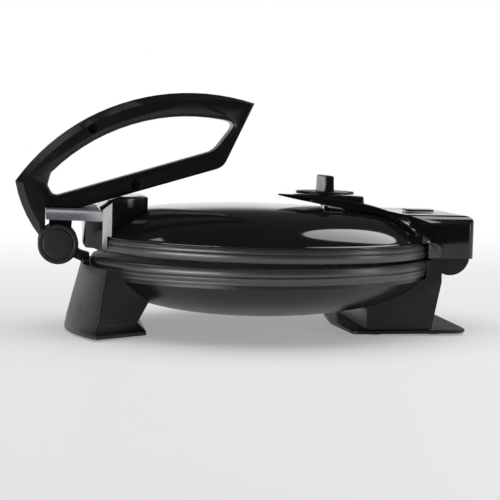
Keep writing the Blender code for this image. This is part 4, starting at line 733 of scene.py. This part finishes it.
# %% [markdown]
# ## Mouldings with soft edges
# The handle's shells, the hinge housing, the bracket and the rear foot already have their
# true shape in the frame. What they lack is the small radius on every edge, which is where
# a black moulding shows its light. A copy of each is merged, its flat faces are joined
# up, and a narrow bevel rounds the edges. The housing is cut off where the arm over the
# dome, a piece of its own, begins.

# %% Copy, merge and round
MERGE_REACH, FLAT_ANGLE, BEVEL_STEPS, MOST_CORNERS = 2e-6, math.radians(0.4), 2, 12


def soft_copy(node, name, body, slot, finish, edge, crease=30, behind=None):
    """The frame's own shape with its triangles merged and its edges rounded by a bevel of width edge.

    With behind, only what lies past that Y of the plate frame is kept, and the cut is closed.
    """
    shape = bmesh.new()
    shape.from_mesh(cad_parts[node].data)
    bmesh.ops.remove_doubles(shape, verts=shape.verts, dist=MERGE_REACH)
    if behind is not None:
        every = [*shape.verts, *shape.edges, *shape.faces]
        bmesh.ops.bisect_plane(shape, geom=every, plane_co=(0, behind + PLATE_MIDDLE[1], 0),
                               plane_no=(0, 1, 0), clear_inner=True)
        bmesh.ops.holes_fill(shape, edges=[edge for edge in shape.edges if edge.is_boundary])
        many_sided = [face for face in shape.faces if len(face.verts) > MOST_CORNERS]
        bmesh.ops.triangulate(shape, faces=many_sided)
    bmesh.ops.dissolve_limit(shape, angle_limit=FLAT_ANGLE, verts=shape.verts, edges=shape.edges)
    mesh = bpy.data.meshes.new(name)
    shape.to_mesh(mesh)
    shape.free()
    piece = add_piece(mesh, body, finish, [node], crease)
    round_off = piece.modifiers.new("Soft edges", "BEVEL")
    round_off.width = edge
    round_off.segments = BEVEL_STEPS
    round_off.limit_method = "ANGLE"
    round_off.angle_limit = math.radians(crease)
    round_off.harden_normals = True
    return piece


BLADE_END = 0.0915
soft_copies = [
    ("handle_shell_near", "handle_near", "press_handle", "handle", handle_satin, 0.0005),
    ("handle_shell_far", "handle_far", "press_handle", "handle", handle_satin, 0.0005),
    ("rear_housing", "hinge_housing", "lid", "gloss", polished_black, 0.0003),
    ("front_bracket", "front_cover", "lid", "gloss", polished_black, 0.0003),
    ("rear_foot", "rear_stand", "base", "satin", foot_satin, 0.0005),
    ("rear_sole_plate", "rear_sole", "base", "satin", foot_satin, 0.0003),
    ("front_yoke", "pivot_yoke", "base", "satin", foot_satin, 0.0003),
]
for row in soft_copies:
    soft_copy(*row, behind=BLADE_END if row[0] == "rear_housing" else None)

# %% [markdown]
# ## The front foot
# Its sides twist: at the sole they draw in toward the back and at the top they run almost
# straight. Flat triangles would show a crease across each side, so the foot is drawn as
# many levels between a toe outline and a top outline, with a spreading sole below.

# %% Front foot from its levels
# Each level: height, half width and Y of the front corners, Y of the bow's middle, half width and
# Y of the back corners. Y counts from the front of the plates.
FOOT_LEVELS = np.array([
    (-0.0575, 0.0820, 0.0010, -0.0210, 0.0570, 0.0400),
    (-0.0550, 0.0820, 0.0010, -0.0210, 0.0570, 0.0400),
    (-0.0543, 0.0815, 0.0012, -0.0206, 0.0567, 0.0397),
    (-0.0480, 0.0795, 0.0020, -0.0195, 0.0550, 0.0335),
    (-0.0060, 0.0720, 0.0085, -0.0080, 0.0660, 0.0550)])
BOW_POINTS, SIDE_LEVELS, FOOT_CORNER = 25, 25, 0.0016


def foot_outline(half, corner, front, back_half, back):
    """Front arc of radius (half^2 + bow^2) / (2 bow) through both corners, then the back corners."""
    bow = corner - front
    radius = (half**2 + bow**2) / (2 * bow)
    swing = math.asin(half / radius) * np.linspace(-1.0, 1.0, BOW_POINTS)
    arc = np.column_stack([radius * np.sin(swing), front + radius - radius * np.cos(swing)])
    outline = np.concatenate([arc, [(back_half, back), (-back_half, back)]])
    return soften(outline, FOOT_CORNER, 4, closed=True)


between = np.linspace(0.0, 1.0, SIDE_LEVELS)[1:, None]
side_rows = FOOT_LEVELS[-2] + (FOOT_LEVELS[-1] - FOOT_LEVELS[-2]) * between
foot_rows = np.concatenate([FOOT_LEVELS[:-1], side_rows])
foot_plans = np.stack([foot_outline(*row[1:]) for row in foot_rows]) - [0.0, PLATE_RADIUS]
foot_heights = np.broadcast_to(foot_rows[:, :1], foot_plans.shape[:2])
foot_rings = np.concatenate([foot_plans, foot_heights[..., None]], axis=-1)
foot_ends = [on_base(foot_rings[end].mean(axis=0)[None]) for end in (0, -1)]
add_piece(grid_mesh("front_stand", on_base(foot_rings), *foot_ends), "base", foot_satin,
          ["front_foot"], crease=42)

# %% Satin tongue of the front bracket
cover = bpy.data.objects["front_cover"].data
cover.materials.append(tongue_satin)
TONGUE_START, TONGUE_LOW = -0.1435 + PLATE_MIDDLE[1], 0.0200 + PLATE_MIDDLE[2]
for face in cover.polygons:
    face.material_index = int(face.center.y < TONGUE_START and face.center.z > TONGUE_LOW)
print("tongue faces", sum(face.material_index for face in cover.polygons))

# %% [markdown]
# ## The arm over the dome
# The arm is a thin blade that starts as a beak over the middle of the dome and widens as
# it runs back to the hinge housing. Its section changes all the way, so it is a loft: a
# smooth curve goes through a table of stations, and each station gives one ring. The
# under side keeps off the dome by a hair wherever the two come close.

# %% Curve through stations
def through(rows, steps):
    """Curve between rows b and c: (2b + (c-a)t + (2a-5b+4c-d)t^2 + (3b-a-3c+d)t^3) / 2."""
    rows = np.asarray(rows, float)
    padded = np.concatenate([2 * rows[:1] - rows[1:2], rows, 2 * rows[-1:] - rows[-2:-1]])
    share = np.linspace(0.0, 1.0, steps, endpoint=False)[:, None, None]
    a, b, c, d = padded[:-3], padded[1:-2], padded[2:-1], padded[3:]
    square, cube = 2 * a - 5 * b + 4 * c - d, 3 * b - a - 3 * c + d
    curve = 2 * b + (c - a) * share + square * share**2 + cube * share**3
    return np.concatenate([0.5 * curve.transpose(1, 0, 2).reshape(-1, rows.shape[1]), rows[-1:]])


def dome_height(across, along):
    """Height of the dome's outside over a point of the plate frame."""
    side = dome_side(0.0)[::-1]
    return np.interp(np.hypot(across, along), side[:, 0], side[:, 1])


print("crown of the dome at", dome_height(0.0, 0.0))


# %% Blade of the arm
# Each row in mm: place along Y, half width below and above, then the height on the middle,
# at the upper edge and at the lower edge.
BLADE_ROWS = np.array([
    (13.6, 1.0, 0.6, 46.60, 46.50, 45.40), (18.0, 6.0, 4.6, 46.60, 46.40, 44.50),
    (24.0, 11.5, 9.2, 46.55, 46.20, 43.30), (30.0, 17.0, 14.0, 46.50, 45.90, 42.20),
    (38.0, 26.0, 22.0, 46.20, 45.40, 40.90), (47.0, 33.5, 29.5, 45.80, 45.00, 39.00),
    (57.0, 39.5, 36.0, 45.10, 44.20, 37.00), (67.0, 43.0, 40.5, 43.80, 42.90, 35.10),
    (77.0, 45.5, 43.5, 42.10, 41.20, 33.70), (86.0, 48.0, 46.5, 39.90, 39.00, 31.50),
    (95.0, 51.5, 50.0, 37.20, 36.00, 28.80), (101.0, 57.0, 53.5, 35.00, 32.60, 25.00),
    (107.0, 63.0, 59.5, 33.00, 28.00, 19.00), (112.0, 67.0, 62.6, 31.00, 23.60, 14.60),
    (118.0, 69.0, 63.6, 29.00, 18.90, 13.00), (124.0, 69.3, 65.0, 27.50, 15.80, 12.90),
    (129.0, 69.0, 66.6, 26.50, 14.70, 13.20)]) / 1000
HOLLOW_FROM, HOLLOW_HALF, HOLLOW_TOP = 0.0985, 0.0600, 0.0228
CLEAR_OF_DOME, CORNER_SHARE, EDGE_INSET, THINNEST, CROWN_BEND = 0.0006, 0.08, 0.0005, 0.002, 2.5
STATION_STEPS, TOP_STEPS, WALL_STEPS = 6, 33, 7
blade_stations = through(BLADE_ROWS, STATION_STEPS)
along, low_half, top_half, crown, rim, under = blade_stations.T[:, :, None]
spread = np.linspace(-1.0, 1.0, TOP_STEPS)
over_x = spread * top_half * (1.0 - EDGE_INSET / top_half.clip(THINNEST))
over_z = crown - (crown - rim) * abs(spread) ** CROWN_BEND
wall = np.linspace(CORNER_SHARE, 1.0 - CORNER_SHARE, WALL_STEPS)
under_x = -spread * low_half * (1.0 - EDGE_INSET / low_half.clip(THINNEST))
under_z = np.maximum(under, dome_height(under_x, along) + CLEAR_OF_DOME)
in_hollow = (abs(under_x) < HOLLOW_HALF) & (along > HOLLOW_FROM)
under_z = np.where(in_hollow, np.maximum(under_z, HOLLOW_TOP), under_z)
edge_z = np.maximum(under, dome_height(low_half, along) + CLEAR_OF_DOME)
near_x = top_half + (low_half - top_half) * wall
near_z = rim + (edge_z - rim) * wall
ring_x = np.concatenate([over_x, near_x, under_x, -near_x[:, ::-1]], axis=1)
ring_z = np.concatenate([over_z, near_z, under_z, near_z[:, ::-1]], axis=1)
blade = np.stack([ring_x, along + 0 * ring_x, ring_z], -1)
ends = [on_lid(blade[end].mean(axis=0)[None]) for end in (0, -1)]
add_piece(grid_mesh("arm_blade", on_lid(blade), *ends),
          "lid", polished_black, ["rear_housing"], crease=48)

# %% Platform under the dial
PLATFORM_HALF, PLATFORM_SIDE, PLATFORM_BACK, PLATFORM_CORNER = 0.0270, 0.070, 0.0790, 0.003
BLADE_SINK = 0.001
front_arc = np.linspace(math.pi, math.tau, 40)
front_bow = np.column_stack([PLATFORM_HALF * np.cos(front_arc),
                             KNOB_Y + PLATFORM_HALF * np.sin(front_arc)])
back_corners = soften([(PLATFORM_HALF, PLATFORM_SIDE), (PLATFORM_HALF, PLATFORM_BACK),
                       (-PLATFORM_HALF, PLATFORM_BACK), (-PLATFORM_HALF, PLATFORM_SIDE)],
                      PLATFORM_CORNER, 5)
platform_outline = np.concatenate([front_bow, back_corners])


def on_blade(points):
    """Height 0 becomes a point 1 mm inside the blade's top, height 1 the platform's top."""
    seat = np.interp(points[..., 1], blade_stations[:, 0], blade_stations[:, 4]) - BLADE_SINK
    height = seat + (PLATFORM_TOP - seat) * points[..., 2]
    return on_lid(np.stack([points[..., 0], points[..., 1], height], -1))


platform_levels = [(0.0, 0.0), (0.0006, 0.70), (0.0009, 0.90), (0.0016, 0.98), (0.0026, 1.0)]
add_piece(stacked("dial_platform", platform_outline, platform_levels, on_blade), "lid",
          polished_black, ["rear_housing"], crease=40)

# %% [markdown]
# ## What stays as it is
# Pieces inside the lid and the base are hardly seen. They keep their own meshes and only
# get a finish.

# %% Finishes for the frame's own pieces
kept_finishes = {
    plain_steel: ["lower_element", "upper_element", "hinge_pin_near", "hinge_pin_far", "pivot_pin",
                  "thermostat_shaft"],
    shield_sheet: ["lower_heat_shield", "upper_heat_shield"],
    block_ceramic: ["terminal_block", "thermostat_body"],
    foot_rubber: ["lead_grommet"],
}
for finish, nodes in kept_finishes.items():
    for node in nodes:
        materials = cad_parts[node].data.materials
        materials.clear()
        materials.append(finish)
print("kept as they are:", sum(len(nodes) for nodes in kept_finishes.values()))

# %% [markdown]
# ## Camera
# The picture was taken almost from the side and a little from above, from about 1.2 m.
# The camera is built from that direction: it looks back along it, and is slid
# sideways a few millimetres so that the object sits in the frame as it does in the photo.

# %% Camera at the photo's place
VIEW_TURN, VIEW_RISE, VIEW_ROLL = math.radians(8.0), math.radians(4.53), 0.0114
PIXELS_PER_FOCUS, SIDE_PIXELS, RISE_PIXELS = 1500.0, 10.0, 3.8
DISTANCE = 1.2058
back = Vector((math.cos(VIEW_TURN) * math.cos(VIEW_RISE), -math.sin(VIEW_TURN) * math.cos(VIEW_RISE),
               math.sin(VIEW_RISE)))
forward = -back
right = forward.cross(Vector((0, 0, 1))).normalized()
above = right.cross(forward)
rolled_right = right * math.cos(VIEW_ROLL) + above * math.sin(VIEW_ROLL)
rolled_up = above * math.cos(VIEW_ROLL) - right * math.sin(VIEW_ROLL)
place = Vector(PLATE_MIDDLE) + back * DISTANCE
place += (rolled_up * RISE_PIXELS - rolled_right * SIDE_PIXELS) * DISTANCE / PIXELS_PER_FOCUS
camera = bpy.data.objects.new("Camera", bpy.data.cameras.new("Camera"))
bpy.context.scene.collection.objects.link(camera)
axes = Matrix((rolled_right, rolled_up, back)).transposed().to_4x4()
camera.matrix_world = Matrix.Translation(place) @ axes
camera.data.sensor_width, camera.data.lens = 36.0, 36.0 * PIXELS_PER_FOCUS / 500.0
bpy.context.scene.camera = camera
print("camera at", [round(value, 3) for value in place])

# %% [markdown]
# ## Floor, backdrop and light
# The photo has a pale floor that runs into a white backdrop. Glossy black shows hardly
# anything but its surroundings, so they matter: behind the object everything is white
# up to a certain height, which the dome's crown mirrors, while the side of the camera is
# a dim room with a few soft boxes, which draw the lights on handle, rim and dome.

# %% Pale floor that runs out into white
FLOOR_SIZE, FLOOR_FRONT = 6.0, 0.64
FADE_BAND, FADE_SHARES = (0.0, -1.1), (0.31, 1.0)
floor_mesh = bpy.data.meshes.new("floor")
floor_mesh.from_pydata([(-FLOOR_SIZE, -FLOOR_SIZE, 0), (FLOOR_FRONT, -FLOOR_SIZE, 0),
                        (FLOOR_FRONT, FLOOR_SIZE, 0), (-FLOOR_SIZE, FLOOR_SIZE, 0)], [], [(0, 1, 2, 3)])
floor = bpy.data.objects.new("floor", floor_mesh)
bpy.context.scene.collection.objects.link(floor)
floor_paint = bpy.data.materials.new("Floor paint")
floor_paint.use_nodes = True
floor_mesh.materials.append(floor_paint)
tree = floor_paint.node_tree
shader = tree.nodes["Principled BSDF"]
shader.inputs["Roughness"].default_value = 0.55
where = add_node(tree, "TexCoord")
cloud = add_node(tree, "TexNoise", Scale=3.0, Detail=3.0)
wire(tree, where, "Object", cloud, "Vector")
paint = mix_node(tree, (cloud, "Fac"), (0.80, 0.80, 0.83), (0.84, 0.84, 0.86))
wire(tree, paint, MIX_RESULT, shader, "Base Color")
depth = add_node(tree, "SeparateXYZ")
wire(tree, where, "Object", depth, "Vector")
fade = range_node(tree, depth, "X", *FADE_BAND, *FADE_SHARES)
seen = add_node(tree, "LightPath")
only_seen = sum_node(tree, "MAXIMUM", (seen, "Is Camera Ray"), (seen, "Is Glossy Ray"))
share = sum_node(tree, "MULTIPLY", (fade, "Result"), (only_seen, 0))
white = add_node(tree, "Emission", Strength=1.0)
mixer = add_node(tree, "MixShader")
wire(tree, share, 0, mixer, 0)
wire(tree, shader, "BSDF", mixer, 1)
wire(tree, white, "Emission", mixer, 2)
wire(tree, mixer, "Shader", tree.nodes["Material Output"], "Surface")
print("floor paint:", len(tree.nodes), "nodes")

# %% White behind, a dim room in front
BEHIND_BAND, LOW_BAND, DIM_ROOM = (-0.35, 0.15), (0.11, 0.19), (0.045, 0.045, 0.053)
room = bpy.data.worlds.new("Studio")
bpy.context.scene.world = room
room.use_nodes = True
tree = room.node_tree
tree.nodes.clear()
where = add_node(tree, "TexCoord")
split = add_node(tree, "SeparateXYZ")
wire(tree, where, "Generated", split, "Vector")
behind = range_node(tree, split, "X", *BEHIND_BAND, 1.0, 0.0)
low_down = range_node(tree, split, "Z", *LOW_BAND, 1.0, 0.0)
wall = sum_node(tree, "MULTIPLY", (behind, "Result"), (low_down, "Result"))
room_light = mix_node(tree, (wall, 0), DIM_ROOM, (1, 1, 1))
around = add_node(tree, "Background", Strength=1.0)
wire(tree, room_light, MIX_RESULT, around, "Color")
backdrop = add_node(tree, "Background", Strength=1.0)
backdrop.inputs["Color"].default_value = (1, 1, 1, 1)
seen = add_node(tree, "LightPath")
mixer = add_node(tree, "MixShader")
wire(tree, seen, "Is Camera Ray", mixer, 0)
wire(tree, around, "Background", mixer, 1)
wire(tree, backdrop, "Background", mixer, 2)
sky = add_node(tree, "OutputWorld")
wire(tree, mixer, "Shader", sky, "Surface")


# %% Soft boxes
def soft_box(name, spot, target, size, power, mirrored=True, lights=True, shape="RECTANGLE"):
    """An area lamp aimed at a target, which glossy faces mirror, which lights dull ones, or both."""
    lamp = bpy.data.lights.new(name, "AREA")
    lamp.shape, lamp.size, lamp.size_y, lamp.energy = shape, *size, power
    made = bpy.data.objects.new(name, lamp)
    bpy.context.scene.collection.objects.link(made)
    made.location = spot
    made.rotation_mode = "QUATERNION"
    made.rotation_quaternion = (Vector(target) - Vector(spot)).to_track_quat("-Z", "Y")
    made.visible_glossy = mirrored
    made.visible_diffuse = lights
    return made


middle = Vector((0.0, 0.0, 0.06))
soft_box("Ceiling box", (-0.1, 0.0, 1.6), middle, (3.0, 3.0), 46.0, mirrored=False)
soft_box("Left box", (0.80, -1.05, 0.12), middle, (1.0, 0.26), 9.0, lights=False)
soft_box("Right strip", (0.55, 1.2, 0.35), middle, (0.25, 0.9), 3.0)
soft_box("High left box", (-0.25, -0.80, 0.95), (0.0, -0.10, 0.10), (0.45, 0.35), 1.4, lights=False)
soft_box("Window box", (-0.41, 0.60, 0.96), (0.11, 0.07, 0.08), (0.46, 0.76), 3.3,
         lights=False, shape="ELLIPSE")
bpy.context.scene.view_settings.view_transform = "Standard"
print("soft boxes:", len(bpy.data.lights))
